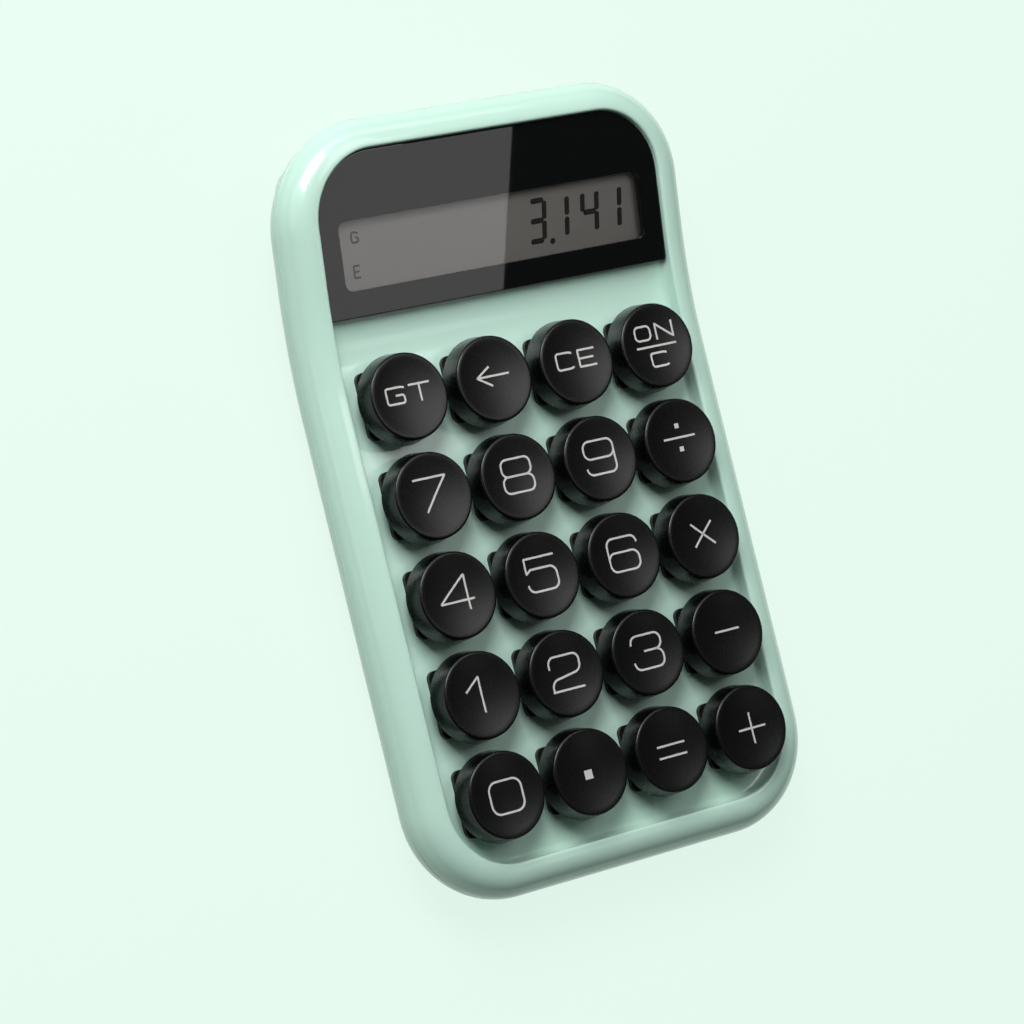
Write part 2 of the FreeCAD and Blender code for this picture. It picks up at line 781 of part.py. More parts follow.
lens = outline_prism(size.rim_width + size.lens_gap).common(behind(size.lens_front_y + size.lens_gap))
lens = lens.common(tilted_space(size.seat_depth)).cut(tilted_space(size.lens_recess))
feature("display_lens", lens)

glass_y = "lcd_middle"
lower_glass = block(
    "lcd_lower_glass", "lcd_width", "lcd_length", "lcd_thickness / 2", y=glass_y, z="-lcd_base_depth"
)
upper_glass = block(
    "lcd_upper_glass", "lcd_width", "lcd_length - lcd_ledge", "lcd_thickness / 2",
    y="lcd_middle - lcd_ledge / 2", z="-lcd_base_depth + lcd_thickness / 2",
)
tilt(fuse("lcd_panel", lower_glass, upper_glass))

frame_blank = block(
    "frame_blank", "frame_width", "frame_length", "frame_base_depth - plate_depth",
    y=glass_y, z="-frame_base_depth",
)
frame_pocket = block(
    "frame_pocket", "lcd_width + 2 * lcd_clearance", "lcd_length + 2 * lcd_clearance", "frame_base_depth",
    y=glass_y, z="-lcd_base_depth",
)
stake_holes = feature(
    "stake_holes", posts(size.stake_radius + size.hole_gap, stake_spans(-REACH, 0))
)
tilt(cut("lcd_frame", frame_blank, frame_pocket, stake_holes))

# Board

board_blank = plate(
    "board_blank", "2 * board_half", "board_high - board_low", "board_thickness", "board_corner",
    y="(board_low + board_high) / 2", z="board_under",
)
PINS = [
    (x + side * size.pin_across, y + size.pin_along) for x, y in KEY_PLACES.values() for side in (-1, 1)
]
board_holes = posts(size.pin_radius + size.hole_gap, [(x, y, 0, size.board_top + 1) for x, y in PINS]).Solids
board_holes += posts(
    size.peg_radius + size.hole_gap, [(x, y, 0, size.board_top + 1) for x, y in KEY_PLACES.values()]
).Solids
board_holes += posts(
    size.screw_radius + size.hole_gap, [(x, y, 0, size.board_top + 1) for x, y in BOARD_SCREWS]
).Solids
cut("main_board", board_blank, feature("board_holes", Part.makeCompound(board_holes)))
block(
    "controller_chip", "chip_size", "chip_size", "chip_height",
    y="keys_y + key_pitch / 2", z="board_under - chip_height",
)
block(
    "ribbon_connector", "connector_width", "connector_length", "connector_height",
    y="connector_y + connector_length / 2", z="board_top",
)


def build_ribbon():
    """Flat cable from the connector's back up to the underside of the display frame."""
    half = size.connector_height / 2
    thick = size.ribbon_thickness
    lap_low = size.lcd_middle - size.lcd_length / 2
    slant = thick / math.cos(TILT)
    lower = [Vector(0, y, size.board_top + half) for y in (size.board_high, size.lens_front_y)]
    upper = [point + Vector(0, 0, thick) for point in lower]
    for along in (lap_low, lap_low + size.ribbon_lap):
        under = display_placement().multVec(Vector(0, along, -size.frame_base_depth))
        upper.append(under)
        lower.append(under - Vector(0, 0, slant))
    outline = Part.makePolygon(lower + upper[::-1] + lower[:1])
    ribbon = Part.Face(outline).extrude(Vector(size.ribbon_width, 0, 0))
    ribbon.translate(Vector(-size.ribbon_width / 2, 0, 0))
    return ribbon


feature("display_ribbon", build_ribbon())

# Key switches and keys, drawn at the origin in plan

flange = plate("flange", "switch_size", "switch_size", "flange_thickness", "flange_corner", z="deck_z")
plug = block("switch_plug", "plug_size", "plug_size", "plug_depth", z="housing_split")
guide = block("switch_guide", "block_size", "block_size", "block_height", z="flange_top")
guide_room = block(
    "guide_room", "slider_size + 2 * slide_gap", "slider_size + 2 * slide_gap", "roof_under - housing_split",
    z="housing_split",
)
stem_slot = block(
    "stem_slot", "tenon_width + 2 * slide_gap", "tenon_depth + 2 * slide_gap", "cap_top - housing_split",
    z="housing_split",
)
upper_housing = cut("upper_housing", fuse("upper_housing_blank", flange, plug, guide), guide_room, stem_slot)

lower_box = block("lower_box", "plug_size", "plug_size", "housing_split - board_top", z="board_top")
lower_room = block(
    "lower_room", "plug_size - 2 * lower_wall", "plug_size - 2 * lower_wall", "housing_split - bay_floor",
    z="bay_floor",
)
guide_post = rod(
    "guide_post", "post_radius", "post_height + housing_floor / 2", z="bay_floor - housing_floor / 2"
)
locating_peg = rod(
    "locating_peg", "peg_radius", "peg_length + housing_floor / 2", z="board_top - peg_length"
)
lower_housing = fuse("lower_housing", cut("lower_housing_box", lower_box, lower_room), guide_post, locating_peg)

slider = block("slider", "slider_size", "slider_size", "slider_top - slider_bottom", z="slider_bottom")
tenon = block("tenon", "tenon_width", "tenon_depth", "cap_ceiling - spring_top", z="spring_top")
spring_bore = rod("spring_room", "spring_bore", "spring_top - slider_bottom", z="slider_bottom")
stem = cut("stem", fuse("stem_blank", slider, tenon), spring_bore)

spring_outer = rod("spring_outer", "spring_radius", "spring_top - bay_floor", z="bay_floor")
spring_inner = rod("spring_inner", "spring_radius - spring_wire", "spring_top - bay_floor", z="bay_floor")
spring = cut("spring", spring_outer, spring_inner)

cap_blank = turned(
    "cap_blank",
    (("0", "cap_ceiling"), ("cap_roof_bore", "cap_ceiling"), ("cap_skirt_bore", "cap_bottom"),
     ("cap_base_radius", "cap_bottom"), ("cap_top_radius", "cap_top"), ("0", "cap_top")),
    edge_radius="cap_edge_round", edge_height="cap_top",
)
socket = block(
    "socket", "tenon_width + 2 * socket_wall", "tenon_depth + 2 * socket_wall",
    "cap_ceiling - socket_bottom + cap_roof / 2", z="socket_bottom",
)
socket_hole = block(
    "socket_hole", "tenon_width + 2 * socket_gap", "tenon_depth + 2 * socket_gap",
    "cap_ceiling - socket_bottom", z="socket_bottom",
)
dish = ball("dish", "dish_radius", z="cap_top - cap_dish + dish_radius")
keycap = cut("keycap", fuse("keycap_blank", cap_blank, socket), socket_hole, dish)

foot = turned(
    "foot",
    (("0", "0"), ("foot_face_radius", "0"), ("foot_radius", "foot_edge"), ("foot_radius", "foot_height"),
     ("0", "foot_height")),
)
screw = turned(
    "screw",
    (("0", "0"), ("screw_head_radius", "0"), ("screw_head_radius", "screw_head_height"),
     ("screw_radius", "screw_head_height"), ("screw_radius", "screw_tip"), ("0", "screw_tip")),
)
cell = turned(
    "cell",
    (("0", "0"), ("cell_radius", "0"), ("cell_radius", "cell_shoulder"), ("nub_radius", "cell_shoulder"),
     ("nub_radius", "cell_length"), ("0", "cell_length")),
)
doc.recompute()


def copies(name, piece, places):
    """One sub-part of equal solids, a copy of a piece at each place."""
    shapes = []
    for place in places:
        shape = piece.Shape.copy()
        shape.translate(Vector(*place))
        shapes += shape.Solids
    return feature(name, Part.makeCompound(shapes))


KEY_POINTS = [(x, y, 0) for x, y in KEY_PLACES.values()]
copies("switch_upper_housings", upper_housing, KEY_POINTS)
copies("switch_lower_housings", lower_housing, KEY_POINTS)
copies("switch_springs", spring, KEY_POINTS)
for name, (x, y) in KEY_PLACES.items():
    for prefix, piece in (("keycap", keycap), ("stem", stem)):
        part = feature(f"{prefix}_{name}", piece.Shape.Solids[0].copy())
        part.Placement = Placement(Vector(x, y, 0), Rotation())
pin_spans = [(x, y, size.board_top - size.pin_length, size.board_top) for x, y in PINS]
feature("switch_pins", posts(size.pin_radius, pin_spans))

# Fasteners, feet and battery

head_drop = size.screw_head_height
copies("board_screws", screw, [(x, y, size.board_under - head_drop) for x, y in BOARD_SCREWS])
copies("case_screws", screw, [(x, y, head_height(y) - head_drop) for x, y in CASE_SCREWS])
copies("rubber_feet", foot, [(x, y, 0) for x, y in FEET])

cell_part = feature("battery_cell", cell.Shape.Solids[0].copy())
cell_part.Placement = Placement(
    Vector(size.bay_half - size.contact_thickness - size.cell_length, size.cell_y, size.cell_z),
    Rotation(Vector(0, 1, 0), 90),
)


def build_contacts():
    """Two contact plates with tabs, and the spring behind the cell's flat end."""
    thick = size.contact_thickness
    half = size.contact_width / 2
    tabs = tab_boxes(0).Solids
    pieces = []
    for x, tab in zip((-size.bay_half, size.bay_half - thick), tabs):
        corner = Vector(x, size.cell_y - half, size.cell_z - half)
        contact = Part.makeBox(thick, size.contact_width, size.contact_width, corner)
        pieces.append(contact.fuse(tab).removeSplitter())
    start = Vector(-size.bay_half + thick, size.cell_y, size.cell_z)
    outer = Part.makeCylinder(size.contact_spring_radius, size.contact_spring, start, Vector(1, 0, 0))
    bore = size.contact_spring_radius - size.contact_spring_wire
    pieces.append(outer.cut(Part.makeCylinder(bore, size.contact_spring, start, Vector(1, 0, 0))))
    return Part.makeCompound(pieces)


feature("battery_contacts", build_contacts())


def rounded_path(points, trim):
    """Wire through points, with each inner corner rounded off over a trim length."""
    edges = []
    start = points[0]
    for before, knee, after in zip(points, points[1:], points[2:]):
        back = (before - knee).normalize()
        ahead = (after - knee).normalize()
        half = back.getAngle(ahead) / 2
        bisector = (back + ahead).normalize()
        middle = knee + bisector * (trim / math.cos(half) - trim * math.tan(half))
        first = knee + back * trim
        last = knee + ahead * trim
        edges.append(Part.makeLine(start, first))
        edges.append(Part.Arc(first, middle, last).toShape())
        start = last
    edges.append(Part.makeLine(start, points[-1]))
    return Part.Wire(edges)


def build_leads():
    """Two wires from the contact tabs down to the board, level at both ends."""
    wires = []
    lap = Vector(0, size.lead_lap, 0)
    for side in (-1, 1):
        x = side * (size.bay_half - size.contact_thickness / 2)
        tab = Vector(x, size.bay_low - size.tab_reach, size.cell_z + size.tab_height / 2)
        edge = Vector(x, size.board_high, size.board_top + size.lead_radius)
        path = rounded_path([tab, tab - lap, edge + lap, edge - lap], size.lead_lap * 0.8)
        section = Part.Wire(Part.Circle(tab, Vector(0, 1, 0), size.lead_radius).toShape())
        wires.append(path.makePipeShell([section], True, False))
    return Part.makeCompound(wires)


feature("battery_leads", build_leads())

# Check and write

NODES = [
    "upper_shell", "lower_shell", "battery_door", "display_lens", "lcd_panel", "lcd_frame", "main_board",
    "controller_chip", "ribbon_connector", "display_ribbon", "switch_upper_housings", "switch_lower_housings",
    "switch_springs", "switch_pins", "board_screws", "case_screws", "rubber_feet", "battery_cell",
    "battery_contacts", "battery_leads",
]
NODES += [f"{prefix}_{name}" for prefix in ("keycap", "stem") for name in KEY_PLACES]

doc.recompute()
for obj in doc.Objects:
    if "Invalid" in obj.State or "Error" in obj.State:
        raise RuntimeError(f"{obj.Label} failed: {obj.State}")
parts = {name: doc.getObject(name) for name in NODES}
for name, part in parts.items():
    part.Label = name
    if part.Shape.isNull() or not part.Shape.isValid() or not part.Shape.Solids:
        raise RuntimeError(f"{name} has no valid shape")

os.makedirs("parts", exist_ok=True)
for name, part in parts.items():
    part.Shape.exportStep(f"parts/{name}.step")
print(f"{len(parts)} parts, {size.body_width:.2f} x {size.body_length:.2f} mm, caps to {size.cap_top:.2f} mm")
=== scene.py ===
"""Desk calculator with round keys: dressed pieces, studio light and camera, in metres."""
import logging
import math
from collections.abc import Callable, Iterable, Sequence
from dataclasses import dataclass
from enum import Enum

import bmesh
import bpy
from bmesh.types import BMEdge, BMesh, BMFace, BMVert
from mathutils import Matrix, Vector


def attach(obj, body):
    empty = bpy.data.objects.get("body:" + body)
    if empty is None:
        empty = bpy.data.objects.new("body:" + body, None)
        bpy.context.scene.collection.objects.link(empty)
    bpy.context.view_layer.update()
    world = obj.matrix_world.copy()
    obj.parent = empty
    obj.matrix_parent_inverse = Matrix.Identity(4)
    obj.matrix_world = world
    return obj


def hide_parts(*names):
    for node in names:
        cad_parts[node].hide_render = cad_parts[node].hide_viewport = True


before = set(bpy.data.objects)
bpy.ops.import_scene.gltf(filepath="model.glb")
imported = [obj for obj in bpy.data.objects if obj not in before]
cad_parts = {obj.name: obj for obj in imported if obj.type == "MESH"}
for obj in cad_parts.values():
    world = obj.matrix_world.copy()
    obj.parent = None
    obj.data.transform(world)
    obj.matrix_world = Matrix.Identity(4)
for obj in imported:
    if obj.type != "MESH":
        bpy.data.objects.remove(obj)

log = logging.getLogger("calculator")

MM = 0.001
CLOSE = 1e-4
EDGE_STEPS = 3
CASE_BODY = "case"
Point = tuple[float, float]
Spot = tuple[float, float, float]
Colour = tuple[float, float, float]
Socket = bpy.types.NodeSocket
Rule = Callable[[Vector], float]


class Key(str, Enum):
    """Keys, named as their nodes are, from the display down and from the left."""

    GT = "gt"
    ERASE = "erase"
    CE = "ce"
    ON = "on"
    SEVEN = "seven"
    EIGHT = "eight"
    NINE = "nine"
    DIVIDE = "divide"
    FOUR = "four"
    FIVE = "five"
    SIX = "six"
    TIMES = "times"
    ONE = "one"
    TWO = "two"
    THREE = "three"
    MINUS = "minus"
    ZERO = "zero"
    POINT = "point"
    EQUALS = "equals"
    PLUS = "plus"


def linear(*steps: int) -> Colour:
    """Linear colour of a screen colour given as red, green and blue in steps of 255."""
    shares = [step / 255 for step in steps]
    return tuple(s / 12.92 if s <= 0.04045 else ((s + 0.055) / 1.055) ** 2.4 for s in shares)


# Finishes

@dataclass(frozen=True)
class NodeFinish:
    """Finish that is wired up once, as a node material."""

    name: str

    def material(self) -> bpy.types.Material:
        """Node material of this finish, made once.

        Returns:
            The material.
        """
        found = bpy.data.materials.get(self.name)
        if found:
            return found
        made = bpy.data.materials.new(self.name)
        made.use_nodes = True
        self.wire(made.node_tree)
        return made

    def wire(self, tree: bpy.types.NodeTree) -> None:
        """Set up the material's nodes."""
        raise NotImplementedError

    @staticmethod
    def blend(tree: bpy.types.NodeTree, share: Socket, first: Socket, second: Socket) -> None:
        """Show a mix of two shaders on the surface.

        Args:
            tree: Material nodes.
            share: Share of the second shader.
            first: First shader.
            second: Second shader.
        """
        mix = tree.nodes.new("ShaderNodeMixShader")
        tree.links.new(share, mix.inputs["Fac"])
        tree.links.new(first, mix.inputs[1])
        tree.links.new(second, mix.inputs[2])
        tree.links.new(mix.outputs["Shader"], tree.nodes["Material Output"].inputs["Surface"])


@dataclass(frozen=True)
class Finish(NodeFinish):
    """Moulded or worked surface whose tone, gloss and grain vary a little over the piece.

    Attributes:
        cloud: Share by which the tone drifts over the piece.
        cloud_size: Size of that drift in millimetres.
        rub: Spread of the roughness.
        grain: Height of the fine grain in millimetres.
        grain_size: Size of the fine grain in millimetres.
        rubs_per_cloud: Rubs along one drift of the tone.
    """

    colour: Colour
    roughness: float
    metallic: float = 0.0
    coat: float = 0.0
    specular: float = 0.5
    cloud: float = 0.03
    cloud_size: float = 24.0
    rub: float = 0.04
    grain: float = 0.004
    grain_size: float = 0.35
    coat_roughness: float = 0.06
    grain_strength: float = 0.6
    least_roughness: float = 0.002
    rubs_per_cloud: float = 6.0

    def wire(self, tree: bpy.types.NodeTree) -> None:
        """Set up the material's nodes.

        Args:
            tree: Material nodes.
        """
        shader = tree.nodes["Principled BSDF"]
        shader.inputs["Metallic"].default_value = self.metallic
        shader.inputs["Coat Weight"].default_value = self.coat
        shader.inputs["Coat Roughness"].default_value = self.coat_roughness
        shader.inputs["Specular IOR Level"].default_value = self.specular
        place = tree.nodes.new("ShaderNodeTexCoord").outputs["Object"]
        drift = self.noise(tree, place, self.cloud_size, octaves=3)
        tone = tree.nodes.new("ShaderNodeMix")
        tone.data_type = "RGBA"
        tree.links.new(drift, tone.inputs["Factor"])
        tone.inputs["A"].default_value = (*[c * (1 - self.cloud) for c in self.colour], 1)
        tone.inputs["B"].default_value = (*[min(c * (1 + self.cloud), 1) for c in self.colour], 1)
        tree.links.new(tone.outputs["Result"], shader.inputs["Base Color"])
        wear = tree.nodes.new("ShaderNodeMapRange")
        rubs = self.noise(tree, place, self.cloud_size / self.rubs_per_cloud, octaves=4)
        tree.links.new(rubs, wear.inputs["Value"])
        wear.inputs["To Min"].default_value = max(self.roughness - self.rub, self.least_roughness)
        wear.inputs["To Max"].default_value = min(self.roughness + self.rub, 1.0)
        tree.links.new(wear.outputs["Result"], shader.inputs["Roughness"])
        bump = tree.nodes.new("ShaderNodeBump")
        bump.inputs["Distance"].default_value = self.grain * MM
        bump.inputs["Strength"].default_value = self.grain_strength
        tree.links.new(self.noise(tree, place, self.grain_size, octaves=2), bump.inputs["Height"])
        tree.links.new(bump.outputs["Normal"], shader.inputs["Normal"])

    @staticmethod
    def noise(tree: bpy.types.NodeTree, place: Socket, size: float, octaves: float) -> Socket:
        """Noise over the piece.

        Args:
            tree: Material nodes.
            place: Coordinates to read.
            size: Size of the pattern in millimetres.
            octaves: Octaves of detail.

        Returns:
            The noise value's socket.
        """
        node = tree.nodes.new("ShaderNodeTexNoise")
        node.inputs["Scale"].default_value = 1 / (size * MM)
        node.inputs["Detail"].default_value = octaves
        tree.links.new(place, node.inputs["Vector"])
        return node.outputs["Fac"]


@dataclass(frozen=True)
class ClearFinish(NodeFinish):
    """Thin clear window that lets light through and keeps its gloss."""

    tint: Colour = (0.985, 0.98, 0.975)
    roughness: float = 0.008
    refraction: float = 1.45

    def wire(self, tree: bpy.types.NodeTree) -> None:
        """Set up the material's nodes.

        Args:
            tree: Material nodes.
        """
        tree.nodes.remove(tree.nodes["Principled BSDF"])
        clear = tree.nodes.new("ShaderNodeBsdfTransparent")
        clear.inputs["Color"].default_value = (*self.tint, 1)
        shine = tree.nodes.new("ShaderNodeBsdfGlossy")
        shine.inputs["Roughness"].default_value = self.roughness
        edge = tree.nodes.new("ShaderNodeFresnel")
        edge.inputs["IOR"].default_value = self.refraction
        self.blend(tree, edge.outputs["Fac"], clear.outputs["BSDF"], shine.outputs["BSDF"])


@dataclass(frozen=True)
class PaperFinish(NodeFinish):
    """Pale paper that looks even in the picture but for the shadow on it.

    Attributes:
        even: Share of the even part.
        glow: Brightness of the even part.
    """

    colour: Colour
    even_colour: Colour
    even: float
    glow: float
    roughness: float = 0.9
    specular: float = 0.1

    def wire(self, tree: bpy.types.NodeTree) -> None:
        """Set up the material's nodes, with the even part seen directly, mirrored or through glass only.

        Args:
            tree: Material nodes.
        """
        shader = tree.nodes["Principled BSDF"]
        shader.inputs["Base Color"].default_value = (*self.colour, 1)
        shader.inputs["Roughness"].default_value = self.roughness
        shader.inputs["Specular IOR Level"].default_value = self.specular
        glow = tree.nodes.new("ShaderNodeEmission")
        glow.inputs["Color"].default_value = (*self.even_colour, 1)
        glow.inputs["Strength"].default_value = self.glow
        seen = tree.nodes.new("ShaderNodeLightPath")
        total = seen.outputs["Is Camera Ray"]
        for ray in ("Is Glossy Ray", "Is Transmission Ray"):
            both = tree.nodes.new("ShaderNodeMath")
            both.operation = "MAXIMUM"
            tree.links.new(total, both.inputs[0])
            tree.links.new(seen.outputs[ray], both.inputs[1])
            total = both.outputs["Value"]
        share = tree.nodes.new("ShaderNodeMath")
        share.operation = "MULTIPLY"
        share.inputs[1].default_value = self.even
        tree.links.new(total, share.inputs[0])
        self.blend(tree, share.outputs["Value"], shader.outputs["BSDF"], glow.outputs["Emission"])


MINT = Finish(
    "mint_gloss_shell", linear(196, 231, 216), 0.3, coat=0.7, cloud=0.015, cloud_size=40, grain=0.002
)
MINT_UNDER = Finish(
    "mint_satin_base", linear(196, 231, 216), 0.34, coat=0.5, cloud=0.015, cloud_size=40, grain=0.003
)
CAP = Finish(
    "satin_black_cap", linear(5, 5, 5), 0.27, specular=0.38, cloud=0.06, cloud_size=6, rub=0.02,
    grain=0.003, grain_size=0.28,
)
PRINT = Finish("grey_legend_paint", linear(200, 198, 196), 0.55, cloud_size=2, grain=0.002)
SWITCH = Finish("black_switch_housing", linear(15, 15, 15), 0.45, cloud=0.08, cloud_size=5, grain=0.008)
STEM = Finish("brown_switch_stem", linear(96, 62, 40), 0.4, cloud=0.05, cloud_size=4, grain=0.006)
LENS = Finish(
    "black_gloss_lens", linear(9, 9, 10), 0.01, cloud=0.05, rub=0.004, grain=0.0001, grain_size=4
)
LCD = Finish(
    "grey_crystal_glass", linear(174, 170, 167), 0.35, cloud=0.015, cloud_size=9,
    grain=0.0001, grain_size=2,
)
FIGURE = Finish("dark_crystal_figure", linear(13, 11, 12), 0.5, cloud=0.1, cloud_size=3, grain=0.001)
FAINT = Finish("faint_crystal_mark", linear(40, 38, 37), 0.5, cloud=0.05, cloud_size=3, grain=0.001)
HOLDER = Finish("dark_holder_plastic", linear(40, 40, 42), 0.5, cloud=0.08, cloud_size=8, grain=0.01)
BOARD = Finish(
    "green_board_mask", linear(24, 92, 54), 0.28, cloud=0.12, cloud_size=5, grain=0.006, grain_size=0.6
)
CHIP = Finish(
    "black_chip_epoxy", linear(30, 30, 31), 0.6, cloud=0.1, cloud_size=2, grain=0.01, grain_size=0.15
)
PLUG = Finish("ivory_connector", linear(214, 206, 184), 0.42, cloud=0.04, cloud_size=4, grain=0.006)
RIBBON = Finish("amber_ribbon_film", linear(196, 128, 44), 0.25, cloud=0.1, cloud_size=3)
STEEL = Finish(
    "spring_steel", linear(186, 186, 188), 0.28, metallic=1, cloud=0.08, cloud_size=3, rub=0.08,
    grain=0.006,
)
SCREW = Finish(
    "zinc_screw", linear(150, 150, 154), 0.34, metallic=1, cloud=0.12, cloud_size=2, rub=0.1,
    grain=0.012,
)
PIN = Finish(
    "tinned_brass_pin", linear(204, 182, 120), 0.3, metallic=1, cloud=0.1, cloud_size=2, grain=0.006
)
RUBBER = Finish(
    "black_foot_rubber", linear(38, 38, 38), 0.8, cloud=0.1, cloud_size=3, grain=0.03, grain_size=0.5
)
CELL = Finish("foil_cell_sleeve", linear(190, 186, 176), 0.3, metallic=0.6, cloud=0.06, cloud_size=8)
WIRE = Finish("red_wire_jacket", linear(170, 34, 28), 0.4, cloud=0.08, cloud_size=3, grain=0.008)
WINDOW = ClearFinish("clear_window")
PAPER = PaperFinish("pale_paper", linear(166, 176, 171), linear(233, 253, 242), even=0.8, glow=1.13)


# Mesh tools

def round_off(
    mesh: BMesh, geom: Sequence[BMVert | BMEdge], radius: float, steps: int, clamp: bool = False
) -> None:
    """Round edges off, or the corners of a flat or wire outline.

    Args:
        mesh: Mesh that holds them.
        geom: Edges, or corner vertices.
        radius: Radius of the round.
        steps: Steps round each corner.
        clamp: True if neighbouring rounds may not overlap.
    """
    affect = "VERTICES" if isinstance(geom[0], BMVert) else "EDGES"
    bmesh.ops.bevel(
        mesh, geom=geom, offset=radius, offset_type="OFFSET", segments=steps, profile=0.5,
        affect=affect, clamp_overlap=clamp, material=-1,
    )


def outline(mesh: BMesh, low: Point, high: Point, corners: Sequence[float], steps: int) -> BMFace:
    """Level rectangle with round corners.

    Args:
        mesh: Mesh to draw in.
        low: Least x and y.
        high: Greatest x and y.
        corners: Radii of the front left, front right, back left and back right corners.
        steps: Steps round each corner.

    Returns:
        The face.
    """
    middle = Matrix.Translation(((low[0] + high[0]) / 2, (low[1] + high[1]) / 2, 0))
    stretch = Matrix.Diagonal((high[0] - low[0], high[1] - low[1], 1, 1))
    made = bmesh.ops.create_grid(mesh, x_segments=1, y_segments=1, size=0.5, matrix=middle @ stretch)
    order = sorted(made["verts"], key=lambda v: (v.co.y > middle.translation.y, v.co.x))
    for vert, radius in zip(order, corners):
        round_off(mesh, [vert], radius, steps)
    return max(mesh.faces, key=lambda f: f.calc_area())


def slice_at(mesh: BMesh, faces: Iterable[BMFace], axis: int, places: Iterable[float]) -> list[BMFace]:
    """Cut faces along lines square to an axis.

    Args:
        mesh: Mesh that holds the faces.
        faces: Faces to cut.
        axis: 0 for X or 1 for Y.
        places: Coordinates of the cuts.

    Returns:
        The faces after the cuts.
    """
    pieces = list(faces)
    for place in places:
        point = Vector((0, 0, 0))
        point[axis] = place
        normal = Vector((0, 0, 0))
        normal[axis] = 1
        touched: set[BMVert | BMEdge | BMFace] = set(pieces)
        for face in pieces:
            touched.update(face.verts)
            touched.update(face.edges)
        cut = bmesh.ops.bisect_plane(
            mesh, geom=list(touched), dist=CLOSE / 10, plane_co=point, plane_no=normal
        )
        pieces = [part for part in cut["geom"] if isinstance(part, BMFace)]
    return pieces


def block(mesh: BMesh, low: Sequence[float], high: Sequence[float], radius: float = 0.0) -> None:
    """Add a box between two corners, with its edges rounded off if asked.

    Args:
        mesh: Mesh to draw in.
        low: Lowest corner.
        high: Highest corner.
        radius: Radius of all its edges.
    """
    centre = [(a + b) / 2 for a, b in zip(low, high)]
    spans = [b - a for a, b in zip(low, high)]
    place = Matrix.Translation(centre) @ Matrix.Diagonal((*spans, 1))
    verts = bmesh.ops.create_cube(mesh, size=1, matrix=place)["verts"]
    if radius:
        round_off(mesh, list({edge for vert in verts for edge in vert.link_edges}), radius, EDGE_STEPS)


def bounded(mesh: BMesh) -> None:
    """Merge doubles and turn every face outwards."""
    bmesh.ops.remove_doubles(mesh, verts=mesh.verts[:], dist=CLOSE)
    bmesh.ops.recalc_face_normals(mesh, faces=mesh.faces[:])


def stored(name: str, mesh: BMesh) -> bpy.types.Mesh:
    """Store a mesh under a name and free it.

    Args:
        name: Name of the stored mesh.
        mesh: Mesh, freed here.

    Returns:
        The stored mesh.
    """
    data = bpy.data.meshes.new(name)
    mesh.to_mesh(data)
    mesh.free()
    return data


def absorb(mesh: BMesh, other: BMesh) -> None:
    """Add another mesh to a mesh.

    Args:
        mesh: Mesh to add to.
        other: Mesh to add, freed here.
    """
    holder = stored("holder", other)
    mesh.from_mesh(holder)
    bpy.data.meshes.remove(holder)


def put(name: str, data: bpy.types.ID) -> bpy.types.Object:
    """Put data into the scene as an object.

    Args:
        name: Object name.
        data: Mesh, lamp or camera.

    Returns:
        The object.
    """
    made = bpy.data.objects.new(name, data)
    bpy.context.scene.collection.objects.link(made)
    return made


def piece(
    name: str, mesh: BMesh, body: str, finishes: Sequence[NodeFinish], nodes: Sequence[str] = (),
    crease: float = 32.0,
) -> None:
    """Make a finished object from a mesh in millimetres, riding on its body.

    Args:
        name: Object name.
        mesh: Mesh in millimetres, freed here.
        body: Body that it rides on.
        finishes: Materials in the order of the mesh's slots.
        nodes: Model nodes that it stands for.
        crease: Angle in degrees past which an edge stays sharp.
    """
    bmesh.ops.scale(mesh, vec=(MM, MM, MM), verts=mesh.verts[:])
    data = stored(name, mesh)
    data.polygons.foreach_set("use_smooth", [True] * len(data.polygons))
    data.set_sharp_from_angle(angle=math.radians(crease))
    for finish in finishes:
        data.materials.append(finish.material())
    made = put(name, data)
    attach(made, body)
    if nodes:
        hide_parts(*nodes)
    log.info("%s: %d faces on %s", name, len(data.polygons), body)


# Case

@dataclass(frozen=True)
class KeyGrid:
    """Even grid of the keys, in millimetres."""

    pitch: float = 20.0
    middle_y: float = -17.65
    columns: int = 4
    rows: int = 5

    def across(self) -> list[float]:
        """Middles of the columns, from the left."""
        return self.spread(self.columns, 0)

    def along(self) -> list[float]:
        """Middles of the rows, from the front."""
        return self.spread(self.rows, self.middle_y)

    def spread(self, count: int, middle: float) -> list[float]:
        """Places at the pitch about a middle."""
        return [middle + (index - (count - 1) / 2) * self.pitch for index in range(count)]


